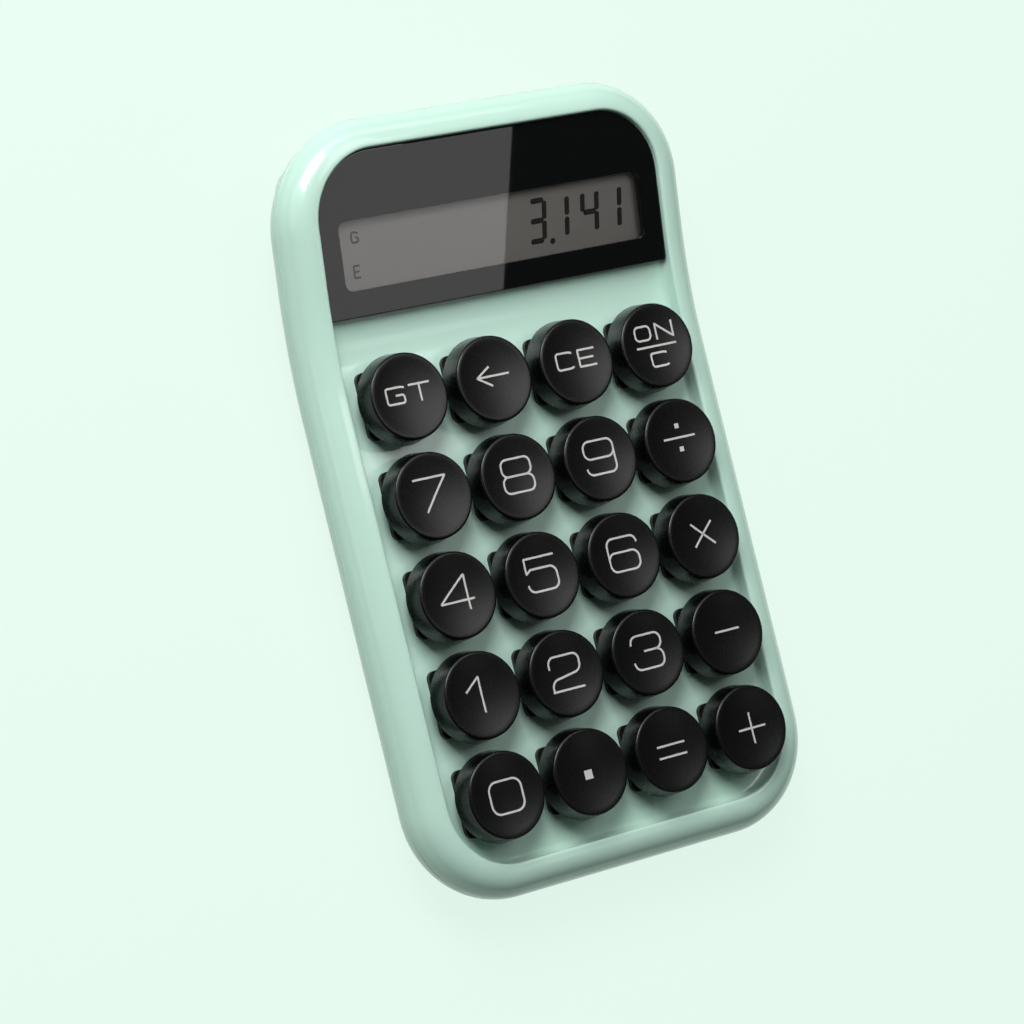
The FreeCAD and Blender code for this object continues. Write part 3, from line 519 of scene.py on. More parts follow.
@dataclass(frozen=True)
class CaseForm:
    """Form of the bent case in millimetres, which its pieces share."""

    half_width: float = 47.45
    half_length: float = 78.0
    corner_radius: float = 20.3
    crest_z: float = 15.15
    slab_thickness: float = 14.35
    parting_depth: float = 5.725
    bend_y: float = 22.35
    bend_radius: float = 115.0
    tilt_degrees: float = 12.0
    deck_z: float = 11.9
    ramp_y: float = 30.25
    ramp_rise: float = 1.8
    lens_front_y: float = 39.35
    rim_width: float = 6.65
    seat_depth: float = 2.6
    seam: float = 0.01

    @property
    def tilt(self) -> float:
        """Tilt of the display end in radians."""
        return math.radians(self.tilt_degrees)

    @property
    def display(self) -> Matrix:
        """Place of the display's own frame, where the bend ends on the crest."""
        y = self.bend_y + self.bend_radius * math.sin(self.tilt)
        z = self.crest_z + self.bend_radius * (1 - math.cos(self.tilt))
        return Matrix.Translation((0, y, z)) @ Matrix.Rotation(self.tilt, 4, "X")

    def height(self, y: float, depth: float) -> float:
        """Height of the layer at a depth under the crest.

        Args:
            y: Place along the case.
            depth: Depth square to the crest.

        Returns:
            The height at y.
        """
        run = y - self.bend_y
        radius = self.bend_radius + depth
        top = self.crest_z + self.bend_radius
        if run <= 0:
            return top - radius
        if run <= radius * math.sin(self.tilt):
            return top - math.sqrt(radius ** 2 - run ** 2)
        return top - (radius - run * math.sin(self.tilt)) / math.cos(self.tilt)

    def floor(self, y: float) -> float:
        """Height of the key deck, its ramp and the lens seat at y."""
        run = y - self.ramp_y
        if run <= 0:
            return self.deck_z
        if y > self.lens_front_y + self.seam:
            seat = self.display @ Vector((0, 0, -self.seat_depth))
            return seat.z + (y - seat.y) * math.tan(self.tilt)
        span = self.lens_front_y - self.ramp_y
        radius = (span ** 2 + self.ramp_rise ** 2) / (2 * self.ramp_rise)
        return self.deck_z + radius - math.sqrt(radius ** 2 - run ** 2)

    def at_depth(self, depth: float) -> Rule:
        """Rule for a ring that follows the crest at a depth."""
        return lambda place: self.height(place.y, depth)

    def over_floor(self, lift: float) -> Rule:
        """Rule for a ring that follows the deck at a lift."""
        return lambda place: self.floor(place.y) + lift

    def rolled(self, inset: float, radius: float, least: float, drop: float = 0.0) -> Rule:
        """Rule for a ring of the top edge, rounded as by a ball between the upright wall and the crest.

        Args:
            inset: Distance in from the outline.
            radius: Radius of the round.
            least: Depth under the crest that the ring doesn't pass.
            drop: Distance under the round.

        Returns:
            The rule.
        """
        def height(place: Vector) -> float:
            """Height of the round at a plan place."""
            across = max(abs(place.x) - self.half_width + self.corner_radius, 0.0)
            along = max(place.y - self.half_length + self.corner_radius, 0.0)
            lean = math.tan(self.tilt) * along / math.hypot(across, along) if along else 0.0
            slope = math.hypot(1, lean)
            crest = self.height(place.y, 0)
            if inset >= radius * (1 + lean / slope):
                return crest - drop
            middle = crest + (inset - radius) * lean - radius * slope
            rise = math.sqrt(radius ** 2 - (radius - inset) ** 2)
            return max(middle + rise - drop, self.height(place.y, least))
        return height


@dataclass
class Shell:
    """Half of the case, drawn as rings that run in from the outline and are then set at their heights."""

    form: CaseForm
    corner_steps: int = 22
    side_cuts: int = 58
    lip: float = 0.1
    wall: float = 1.6

    def start(self, mesh: BMesh) -> BMFace:
        """Outline face of the case with its long sides divided.

        Args:
            mesh: Mesh to draw in.

        Returns:
            The face.
        """
        form = self.form
        x, y = form.half_width, form.half_length
        face = outline(mesh, (-x, -y), (x, y), [form.corner_radius] * 4, self.corner_steps)
        sides = [edge for edge in face.edges if edge.calc_length() > form.half_width / 2]
        bmesh.ops.subdivide_edges(mesh, edges=sides, cuts=self.side_cuts, use_grid_fill=False)
        return max(mesh.faces, key=lambda f: f.calc_area())

    def run_in(
        self, mesh: BMesh, face: BMFace, rings: Sequence[tuple[float, Rule]]
    ) -> tuple[BMFace, list[tuple[list[BMVert], Rule]]]:
        """Draw rings inside the outline, level for now.

        Args:
            mesh: Mesh to draw in.
            face: Outline face.
            rings: Inset and height rule of each ring, from the outline in.

        Returns:
            The innermost face, and each ring's vertices with their rule.
        """
        placed = []
        for (inset, rule), (deeper, _) in zip(rings, rings[1:]):
            outer = set(face.verts)
            if deeper - inset > CLOSE:
                made = bmesh.ops.inset_region(
                    mesh, faces=[face], thickness=deeper - inset, depth=0, use_even_offset=True,
                    use_boundary=True,
                )
                outer = {vert for part in made["faces"] for vert in part.verts} - set(face.verts)
            else:
                face = bmesh.ops.extrude_discrete_faces(mesh, faces=[face])["faces"][0]
            placed.append((list(outer), rule))
        placed.append((list(face.verts), rings[-1][1]))
        return face, placed

    @staticmethod
    def settle(placed: Sequence[tuple[list[BMVert], Rule]], inner: Iterable[BMFace], rule: Rule) -> None:
        """Set the rings and the faces inside them at their heights.

        Args:
            placed: Each ring's vertices with their rule.
            inner: Faces inside the last ring.
            rule: Height rule of those faces.
        """
        for verts, ring_rule in placed:
            for vert in verts:
                if vert.is_valid:
                    vert.co.z = ring_rule(vert.co)
        for vert in {v for part in inner for v in part.verts}:
            vert.co.z = rule(vert.co)

    def thicken(self, mesh: BMesh, outer: Iterable[BMVert], side: int) -> None:
        """Turn the parting edge in a hair, so that the halves meet in a fine groove, and add the wall.

        Args:
            mesh: Skin of the half.
            outer: Vertices of its outermost ring.
            side: 1 if the skin faces up, -1 if it faces down.
        """
        form, ends = self.form, set(outer)
        rim = [edge for edge in mesh.edges if edge.is_boundary and ends.issuperset(edge.verts)]
        made = bmesh.ops.extrude_edge_only(mesh, edges=rim)["geom"]
        verts = [part for part in made if isinstance(part, BMVert)]
        shrink = (1 - self.lip / form.half_width, 1 - self.lip / form.half_length, 1)
        bmesh.ops.scale(mesh, vec=shrink, verts=verts)
        for vert in verts:
            vert.co.z = form.height(vert.co.y, form.parting_depth)
        bounded(mesh)
        if side * max(mesh.faces, key=lambda f: side * f.calc_center_median().z).normal.z < 0:
            bmesh.ops.reverse_faces(mesh, faces=mesh.faces[:])
        bmesh.ops.solidify(mesh, geom=mesh.faces[:], thickness=self.wall)

    @staticmethod
    def arc(start: Point, end: Point, steps: int, bulge: bool) -> list[Point]:
        """Quarter ellipse of (inset, depth) points.

        Args:
            start: First point.
            end: Last point.
            steps: Steps along the arc.
            bulge: True if the arc leaves its start along the depth.

        Returns:
            The points, with the start and the end.
        """
        turns = [math.pi / 2 * step / steps for step in range(steps + 1)]
        shares = [(math.sin(turn), 1 - math.cos(turn)) for turn in turns]
        if bulge:
            shares = [(across, along) for along, across in shares]
        wide, deep = end[0] - start[0], end[1] - start[1]
        return [(start[0] + wide * along, start[1] + deep * across) for along, across in shares]


@dataclass
class UpperShell(Shell):
    """Case top with its rounded rim, sunken key deck and lens seat."""

    grid: KeyGrid = KeyGrid()
    top_round: float = 5.62
    top_steps: int = 14
    crest_round: float = 0.5
    crest_steps: int = 5
    foot_round: float = 1.2
    foot_steps: int = 6
    deck_margin: float = 0.3
    ramp_steps: int = 12
    seat_step: float = 0.05
    hole: float = 12.6
    lcd_half: float = 38.4
    lcd_low: float = 43.38
    lcd_high: float = 61.57

    def hole_sides(self, middles: Sequence[float]) -> list[float]:
        """Both sides of each switch hole along one axis, in order."""
        return [middle + side for middle in middles for side in (-self.hole / 2, self.hole / 2)]

    def rings(self) -> list[tuple[float, Rule]]:
        """Rings from the parting up over the rim and down to the deck.

        Returns:
            Inset and height rule of each ring.
        """
        form = self.form
        least = form.parting_depth - self.lip
        made = [(0.0, form.at_depth(least))]
        for inset, _ in self.arc((0.0, self.top_round), (self.top_round, 0.0), self.top_steps, True):
            made.append((inset, form.rolled(inset, self.top_round, least)))
        crest = (form.rim_width - self.crest_round, 0.0)
        for inset, depth in self.arc(crest, (form.rim_width, self.crest_round), self.crest_steps, False):
            made.append((inset, form.rolled(inset, self.top_round, least, depth)))
        for inset, lift in self.arc((0.0, self.foot_round), (self.foot_round, 0.0), self.foot_steps, True):
            made.append((form.rim_width + inset, form.over_floor(lift)))
        made.append((form.rim_width + self.foot_round + self.deck_margin, form.over_floor(0)))
        return made

    def build(self) -> None:
        """Build the piece."""
        form = self.form
        mesh = bmesh.new()
        face, placed = self.run_in(mesh, self.start(mesh), self.rings())
        columns = self.hole_sides(self.grid.across())
        rows = self.hole_sides(self.grid.along())
        span = form.lens_front_y - form.ramp_y
        ramp = [form.ramp_y + span * step / self.ramp_steps for step in range(self.ramp_steps + 1)]
        cuts = [*rows, *ramp, form.lens_front_y + self.seat_step, self.lcd_low, self.lcd_high]
        deck = slice_at(mesh, [face], 0, [-self.lcd_half, *columns, self.lcd_half])
        deck = slice_at(mesh, deck, 1, sorted(cuts))
        self.settle(placed, deck, form.over_floor(0))
        holes = [part for part in deck if self.is_open(part.calc_center_median())]
        bmesh.ops.delete(mesh, geom=holes, context="FACES")
        self.thicken(mesh, placed[0][0], 1)
        piece("upper_case", mesh, CASE_BODY, [MINT], ["upper_shell"])

    def in_hole(self, place: float, middles: Sequence[float]) -> bool:
        """True if a place lies in a switch hole along one axis."""
        return any(abs(place - middle) < self.hole / 2 for middle in middles)

    def is_open(self, spot: Vector) -> bool:
        """True if a spot on the deck lies in the display opening or in a switch hole."""
        lcd = self.lcd_low < spot.y < self.lcd_high and abs(spot.x) < self.lcd_half
        return lcd or self.in_hole(spot.x, self.grid.across()) and self.in_hole(spot.y, self.grid.along())


@dataclass
class LowerShell(Shell):
    """Case bottom with the wedge foot, the door's slot and the screw wells."""

    bottom_round: float = 8.5
    round_steps: int = 14
    bottom_margin: float = 0.4
    band: float = 5.85
    cut_pitch: float = 2.0
    cuts: int = 16
    wedge_half: float = 38.0
    wedge_low: float = 40.35
    wedge_high: float = 73.0
    wedge_corner: float = 6.0
    wedge_steps: int = 10
    wedge_round: float = 0.5
    foot_proud: float = 0.8
    door_half: float = 26.2
    door_low: float = 58.4
    door_top: float = 2.4
    tongue: float = 1.2
    tongue_low: float = 1.6
    tongue_high: float = 2.3
    gap: float = 0.15
    bay_half: float = 25.2
    bay_low: float = 59.4
    bay_high: float = 71.0
    bay_ceiling: float = 13.2
    past_back: float = 5.0
    past_foot: float = 1.0
    well_radius: float = 1.95
    well_depth: float = 6.0
    well_steps: int = 32
    well_x: float = 41.95
    wells: Sequence[float] = (-47.65, -7.65, 55.35)
    well_seat: float = 2.8

    def build(self) -> None:
        """Build the piece."""
        form = self.form
        mesh = bmesh.new()
        sole = (self.bottom_round, form.slab_thickness)
        profile = [(0.0, form.parting_depth + self.lip)]
        profile += self.arc((0.0, self.band), sole, self.round_steps, True)
        profile.append((self.bottom_round + self.bottom_margin, form.slab_thickness))
        rings = [(inset, form.at_depth(depth)) for inset, depth in profile]
        face, placed = self.run_in(mesh, self.start(mesh), rings)
        first = form.bend_y - self.cut_pitch / 2
        bottom = slice_at(mesh, [face], 1, [first + self.cut_pitch * step for step in range(self.cuts)])
        self.settle(placed, bottom, form.at_depth(form.slab_thickness))
        self.thicken(mesh, placed[0][0], -1)
        shell = put("shell", stored("shell", mesh))
        self.combine(shell, self.wedge(), "UNION")
        for cutter in self.cutters():
            self.combine(shell, cutter, "DIFFERENCE")
        done = bmesh.new()
        done.from_mesh(shell.data)
        bpy.data.objects.remove(shell)
        piece("lower_case", done, CASE_BODY, [MINT_UNDER], ["lower_shell"])

    @staticmethod
    def combine(base: bpy.types.Object, other: bpy.types.Object, operation: str) -> None:
        """Join another object to a base or cut it out, and drop it.

        Args:
            base: Object that is changed.
            other: Object that is used up.
            operation: UNION or DIFFERENCE.
        """
        step = base.modifiers.new("step", "BOOLEAN")
        step.operation = operation
        step.solver = "EXACT"
        step.object = other
        graph = bpy.context.evaluated_depsgraph_get()
        result = bpy.data.meshes.new_from_object(base.evaluated_get(graph))
        base.modifiers.remove(step)
        base.data = result
        bpy.data.objects.remove(other)

    def wedge(self) -> bpy.types.Object:
        """Wedge foot under the display end.

        Returns:
            A scratch object.
        """
        form = self.form
        mesh = bmesh.new()
        low, high = (-self.wedge_half, self.wedge_low), (self.wedge_half, self.wedge_high)
        face = outline(mesh, low, high, [self.wedge_corner] * 4, self.wedge_steps)
        rise = bmesh.ops.extrude_discrete_faces(mesh, faces=[face])["faces"][0]
        for vert in rise.verts:
            vert.co.z = form.height(vert.co.y, form.slab_thickness - self.wall / 2)
        top = set(rise.verts)
        base = [vert for vert in mesh.verts if vert not in top]
        bmesh.ops.translate(mesh, vec=(0, 0, self.foot_proud), verts=base)
        bmesh.ops.contextual_create(mesh, geom=[e for e in mesh.edges if e.is_boundary])
        bounded(mesh)
        edges = [e for e in mesh.edges if all(v.co.z < self.foot_proud + CLOSE for v in e.verts)]
        round_off(mesh, edges, self.wedge_round, EDGE_STEPS)
        return put("wedge", stored("wedge", mesh))

    def cutters(self) -> list[bpy.types.Object]:
        """Slot of the door, room of the cell and wells of the screws.

        Returns:
            Scratch objects.
        """
        wide, back = self.door_half + self.gap, self.wedge_high + self.past_back
        boxes = [
            ((-wide, self.door_low - self.gap, -self.past_foot), (wide, back, self.door_top + self.gap)),
            ((-wide - self.tongue, self.door_low - self.gap - self.tongue, self.tongue_low - self.gap),
             (wide + self.tongue, back, self.tongue_high + self.gap)),
            ((-self.bay_half, self.bay_low, 0), (self.bay_half, self.bay_high, self.bay_ceiling)),
        ]
        meshes = []
        for low, high in boxes:
            meshes.append(bmesh.new())
            block(meshes[-1], low, high)
        for side in (-1, 1):
            for y in self.wells:
                seat = self.foot_proud + self.form.height(y, 0) - self.form.crest_z + self.well_seat
                meshes.append(bmesh.new())
                bmesh.ops.create_cone(
                    meshes[-1], cap_ends=True, segments=self.well_steps, radius1=self.well_radius,
                    radius2=self.well_radius, depth=self.well_depth,
                    matrix=Matrix.Translation((side * self.well_x, y, seat - self.well_depth / 2)),
                )
        return [put("cutter", stored("cutter", mesh)) for mesh in meshes]


# Printed lines

@dataclass(frozen=True)
class Stroke:
    """Line of a legend or of a mark in the display, with round bends, in millimetres."""

    points: Sequence[Point]
    bend_radius: float = 1.5
    closed: bool = False
    width: float = 0.42
    bend_steps: int = 8
    long_edge: float = 1.5
    long_cuts: int = 4

    def draw(self, mesh: BMesh, height: float) -> None:
        """Add the stroke as a thin raised band about its line.

        Args:
            mesh: Mesh to draw in.
            height: How far the band stands above and below its plane.
        """
        line = bmesh.new()
        verts = [line.verts.new((x, y, -height)) for x, y in self.points]
        ends = verts[1:] + verts[:1] if self.closed else verts[1:]
        for pair in zip(verts, ends):
            line.edges.new(pair)
        bends = [vert for vert in verts if len(vert.link_edges) == 2]
        if bends:
            round_off(line, bends, self.bend_radius, self.bend_steps, clamp=True)
        long = [edge for edge in line.edges if edge.calc_length() > self.long_edge]
        bmesh.ops.subdivide_edges(line, edges=long, cuts=self.long_cuts)
        wall = bmesh.ops.extrude_edge_only(line, edges=line.edges[:])["geom"]
        top = [part for part in wall if isinstance(part, BMVert)]
        bmesh.ops.translate(line, vec=(0, 0, 2 * height), verts=top)
        bmesh.ops.recalc_face_normals(line, faces=line.faces[:])
        line.normal_update()
        moves = [(vert, vert.normal * vert.calc_shell_factor()) for vert in line.verts]
        for vert, move in moves:
            vert.co -= move * self.width / 2
        bmesh.ops.solidify(line, geom=line.faces[:], thickness=-self.width)
        bounded(line)
        absorb(mesh, line)


def ring(left: float, right: float, low: float, high: float, radius: float = 1.5) -> Stroke:
    """Closed rounded box of a legend."""
    return Stroke([(left, low), (right, low), (right, high), (left, high)], radius, True)


# Display

@dataclass
class Display:
    """Lens with its window, and the crystal's figures, drawn flat and then tilted."""

    form: CaseForm
    half_width: float = 40.7
    front: float = -6.97
    back: float = 25.28
    back_corner: float = 13.5
    front_corner: float = 0.7
    corner_steps: int = 20
    edge_round: float = 0.22
    recess: float = 1.0
    thickness: float = 1.6
    window_low: Point = (-36.2, -1.75)
    window_high: Point = (36.2, 12.1)
    window_corner: float = 1.8
    window_steps: int = 8
    pane: float = 0.5
    crystal_depth: float = 3.2
    digit_height: float = 9.2
    digit_width: float = 4.6
    digit_low: float = 0.7
    slant: float = 0.12
    bar: float = 1.1
    bar_gap: float = 0.25
    digits: Sequence[tuple[str, float]] = (("3", 13.3), ("1", 18.9), ("4", 26.3), ("1", 32.0))
    point: Point = (14.7, 0.75)
    point_radius: float = 0.62
    point_steps: int = 20
    figure_thickness: float = 0.05
    figure_lift: float = 0.06
    marks: Sequence[Stroke] = (
        Stroke(
            [(-30.75, 9.2), (-31.2, 9.55), (-32.3, 9.55), (-32.3, 7.5), (-30.75, 7.5), (-30.75, 8.5),
             (-31.4, 8.5)],
            0.6,
        ),
        Stroke([(-31.25, 2.95), (-32.6, 2.95), (-32.6, 0.6), (-31.25, 0.6)], 0.05),
        Stroke([(-32.6, 1.8), (-31.4, 1.8)]),
    )
    mark_height: float = 0.02
    mark_lift: float = 0.08

    def tilt(self, mesh: BMesh, depth: float) -> None:
        """Set a flat mesh into the display end at a depth under its crest."""
        place = self.form.display @ Matrix.Translation((0, 0, -depth))
        bmesh.ops.transform(mesh, matrix=place, verts=mesh.verts[:])

    def window(self, mesh: BMesh) -> BMFace:
        """Level face of the window."""
        return outline(mesh, self.window_low, self.window_high, [self.window_corner] * 4, self.window_steps)

    def black_plate(self) -> BMesh:
        """Black part of the lens, with an opening for its window.

        Returns:
            The mesh, level.
        """
        mesh = bmesh.new()
        low, high = (-self.half_width, self.front), (self.half_width, self.back)
        corners = [self.front_corner, self.front_corner, self.back_corner, self.back_corner]
        face = outline(mesh, low, high, corners, self.corner_steps)
        bmesh.ops.delete(mesh, geom=[face], context="FACES_ONLY")
        rim = mesh.edges[:]
        hole = bmesh.new()
        self.window(hole)
        absorb(mesh, hole)
        outer = set(rim)
        edges = rim + [edge for edge in mesh.edges if edge not in outer]
        bmesh.ops.delete(mesh, geom=mesh.faces[:], context="FACES_ONLY")
        filled = bmesh.ops.triangle_fill(mesh, use_beauty=True, use_dissolve=False, edges=edges)
        top = [part for part in filled["geom"] if isinstance(part, BMFace)]
        sunk = bmesh.ops.extrude_face_region(mesh, geom=top, use_keep_orig=True)["geom"]
        base = [part for part in sunk if isinstance(part, BMVert)]
        bmesh.ops.translate(mesh, vec=(0, 0, -self.thickness), verts=base)
        bounded(mesh)
        round_off(mesh, rim, self.edge_round, EDGE_STEPS)
        return mesh

    def clear_pane(self) -> BMesh:
        """Clear pane that fills the window.

        Returns:
            The mesh, level.
        """
        mesh = bmesh.new()
        lower = bmesh.ops.extrude_discrete_faces(mesh, faces=[self.window(mesh)])["faces"][0]
        bmesh.ops.translate(mesh, vec=(0, 0, -self.pane), verts=lower.verts[:])
        bmesh.ops.contextual_create(mesh, geom=[e for e in mesh.edges if e.is_boundary])
        bounded(mesh)
        return mesh

    def build_lens(self) -> None:
        """Build the black lens round a clear window."""
        mesh = self.black_plate()
        black = set(mesh.faces)
        absorb(mesh, self.clear_pane())
        for part in mesh.faces:
            part.material_index = 0 if part in black else 1
        self.tilt(mesh, self.recess)
        piece("display_window", mesh, CASE_BODY, [LENS, WINDOW], ["display_lens"], crease=12)

    def add_bar(self, mesh: BMesh, centre: Point, length: float, upright: bool) -> None:
        """Add a pointed bar of a figure.

        Args:
            mesh: Mesh to draw in.
            centre: Its middle.
            length: Its whole length.
            upright: True for an upright bar.
        """
        quarter = Matrix.Rotation(math.pi / 2, 4, "Z")
        tip = self.bar / math.sqrt(3)
        made = bmesh.ops.create_circle(mesh, cap_ends=True, segments=6, radius=tip, matrix=quarter)
        for vert in made["verts"]:
            vert.co.x += math.copysign(length / 2 - tip, vert.co.x)
        turn = quarter if upright else Matrix.Identity(4)
        bmesh.ops.transform(mesh, matrix=Matrix.Translation((*centre, 0)) @ turn, verts=made["verts"])

    def build_figures(self) -> None:
        """Build the figures shown by the crystal, each of seven bars that are lit or not."""
        mesh = bmesh.new()
        half, tall = self.digit_width / 2 - self.bar / 2, self.digit_height / 2 - self.bar / 2
        places = {
            "a": ((0, tall * 2), False), "g": ((0, tall), False), "d": ((0, 0), False),
            "f": ((-half, tall * 1.5), True), "b": ((half, tall * 1.5), True),
            "e": ((-half, tall * 0.5), True), "c": ((half, tall * 0.5), True),
        }
        lit = {"3": "abgcd", "1": "bc", "4": "fgbc"}
        for digit, right in self.digits:
            for bar in lit[digit]:
                (x, y), upright = places[bar]
                length = (tall if upright else self.digit_width - self.bar) - self.bar_gap
                centre = (right - self.digit_width / 2 + x, self.digit_low + self.bar / 2 + y)
                self.add_bar(mesh, centre, length, upright)
        made = bmesh.ops.create_circle(
            mesh, cap_ends=True, segments=self.point_steps, radius=self.point_radius
        )
        bmesh.ops.translate(mesh, vec=(*self.point, 0), verts=made["verts"])
        for vert in mesh.verts:
            vert.co.x += self.slant * (vert.co.y - self.digit_low)
        bmesh.ops.solidify(mesh, geom=mesh.faces[:], thickness=self.figure_thickness)
        bounded(mesh)
        self.tilt(mesh, self.crystal_depth - self.figure_lift)
        piece("crystal_figures", mesh, CASE_BODY, [FIGURE])

    def build_marks(self) -> None:
        """Build two faint letters at the left of the crystal."""
        mesh = bmesh.new()
        for stroke in self.marks:
            stroke.draw(mesh, self.mark_height)
        self.tilt(mesh, self.crystal_depth - self.mark_lift)
        piece("crystal_marks", mesh, CASE_BODY, [FAINT])


# Keys

LEGENDS: dict[Key, Sequence[Stroke]] = {
    Key.GT: [
        Stroke(
            [(-0.75, 1.96), (-1.2, 2.16), (-5.05, 2.16), (-5.05, -1.04), (-0.95, -1.04), (-0.95, 0.58),
             (-2.9, 0.58)],
            1.0,
        ),
        Stroke([(0.35, 2.16), (5.1, 2.16)]),
        Stroke([(2.75, 2.16), (2.75, -1.33)]),
    ],
    Key.ERASE: [
        Stroke([(-3.7, 0.63), (3.75, 0.63)]),
        Stroke([(-0.5, 2.59), (-3.8, 0.63), (-0.5, -1.33)], 0.1),
    ],
    Key.CE: [
        Stroke([(-0.75, 1.96), (-1.3, 2.2), (-4.7, 2.2), (-4.7, -1.14), (-1.3, -1.14), (-0.75, -0.9)], 1.0),
        Stroke([(4.75, 2.2), (0.8, 2.2), (0.8, -1.19), (4.75, -1.19)], 0.1),
        Stroke([(0.8, 0.48), (4.3, 0.48)]),
    ],
    Key.ON: [
        ring(-4.75, -0.85, 1.39, 4.26, 1.0),
        Stroke([(0.6, 1.1), (0.6, 4.4), (4.6, 1.3), (4.6, 4.59)], 0.1),
        Stroke([(-5, -0.09), (4.85, -0.09)]),
        Stroke(
            [(2.05, -1.71), (1.5, -1.52), (-1.95, -1.52), (-1.95, -4.29), (1.5, -4.29), (2.05, -4.1)], 0.9
        ),
    ],
    Key.SEVEN: [Stroke([(-4, 3.64), (3.55, 3.64), (-2.1, -3.05)], 0.2)],
    Key.EIGHT: [ring(-3.45, 3.45, 0.29, 3.78, 1.35), ring(-3.6, 3.6, -3.05, 0.29, 1.35)],
    Key.NINE: [
        ring(-3.6, 3.6, 0.15, 3.78),
        Stroke([(3.6, 2.25), (3.6, -3.05), (-3.6, -3.05), (-3.6, -1.66)]),
    ],
    Key.DIVIDE: [
        Stroke([(-3.9, 0.68), (3.9, 0.68)]),
        Stroke([(-0.5, 3.11), (0.5, 3.11)], width=1.0),
        Stroke([(-0.5, -1.71), (0.5, -1.71)], width=1.0),
    ],
    Key.FOUR: [Stroke([(2.25, -3.19), (2.25, 3.87), (-4.2, -1.19), (3.7, -1.19)], 0.3)],
    Key.FIVE: [
        Stroke([(3.6, 3.73), (-3.5, 3.73), (-3.5, 0.72), (-2.4, 1.49)], 0.1),
        Stroke([(-2.5, 1.49), (3.6, 1.49), (3.6, -3.05), (-3.6, -3.05), (-3.6, -1.47)]),
    ],
    Key.SIX: [
        ring(-3.6, 3.6, -3.05, 0.77),
        Stroke([(-3.6, -1.57), (-3.6, 3.73), (3.6, 3.73), (3.6, 2.25)]),
    ],
    Key.TIMES: [Stroke([(-2.5, 2.87), (2.6, -1.9)]), Stroke([(2.6, 2.87), (-2.5, -1.9)])],
    Key.ONE: [Stroke([(-3.4, 1.1), (0, 3.73), (0, -3.43)], 0.2)],
    Key.TWO: [
        Stroke([(-3.6, 1.3), (-3.6, 3.68), (3.6, 3.68), (3.6, 0.1), (-3.6, -1.04), (-3.6, -3.19)], 1.4),
        Stroke([(-3.9, -3.19), (3.7, -3.19)]),
    ],
    Key.THREE: [
        Stroke([(-3.6, 1.96), (-3.6, 3.68), (3.65, 3.68), (3.65, 0.39), (-0.7, 0.39)]),
        Stroke([(1.7, 0.39), (3.65, 0.39), (3.65, -3.19), (-3.6, -3.19), (-3.6, -1.57)]),
    ],
    Key.MINUS: [Stroke([(-2.9, 0.34), (3.1, 0.34)])],
    Key.ZERO: [ring(-3.75, 3.75, -3.48, 2.97, 1.9)],
    Key.POINT: [Stroke([(-1.35, -0.42), (0.5, -0.42)], width=1.85)],
    Key.EQUALS: [Stroke([(-3.3, 1.01), (3.5, 1.01)]), Stroke([(-3.3, -1.33), (3.5, -1.33)])],
    Key.PLUS: [Stroke([(-3, -0.14), (3.7, -0.14)]), Stroke([(0.3, 3.06), (0.3, -3.34)])],
}


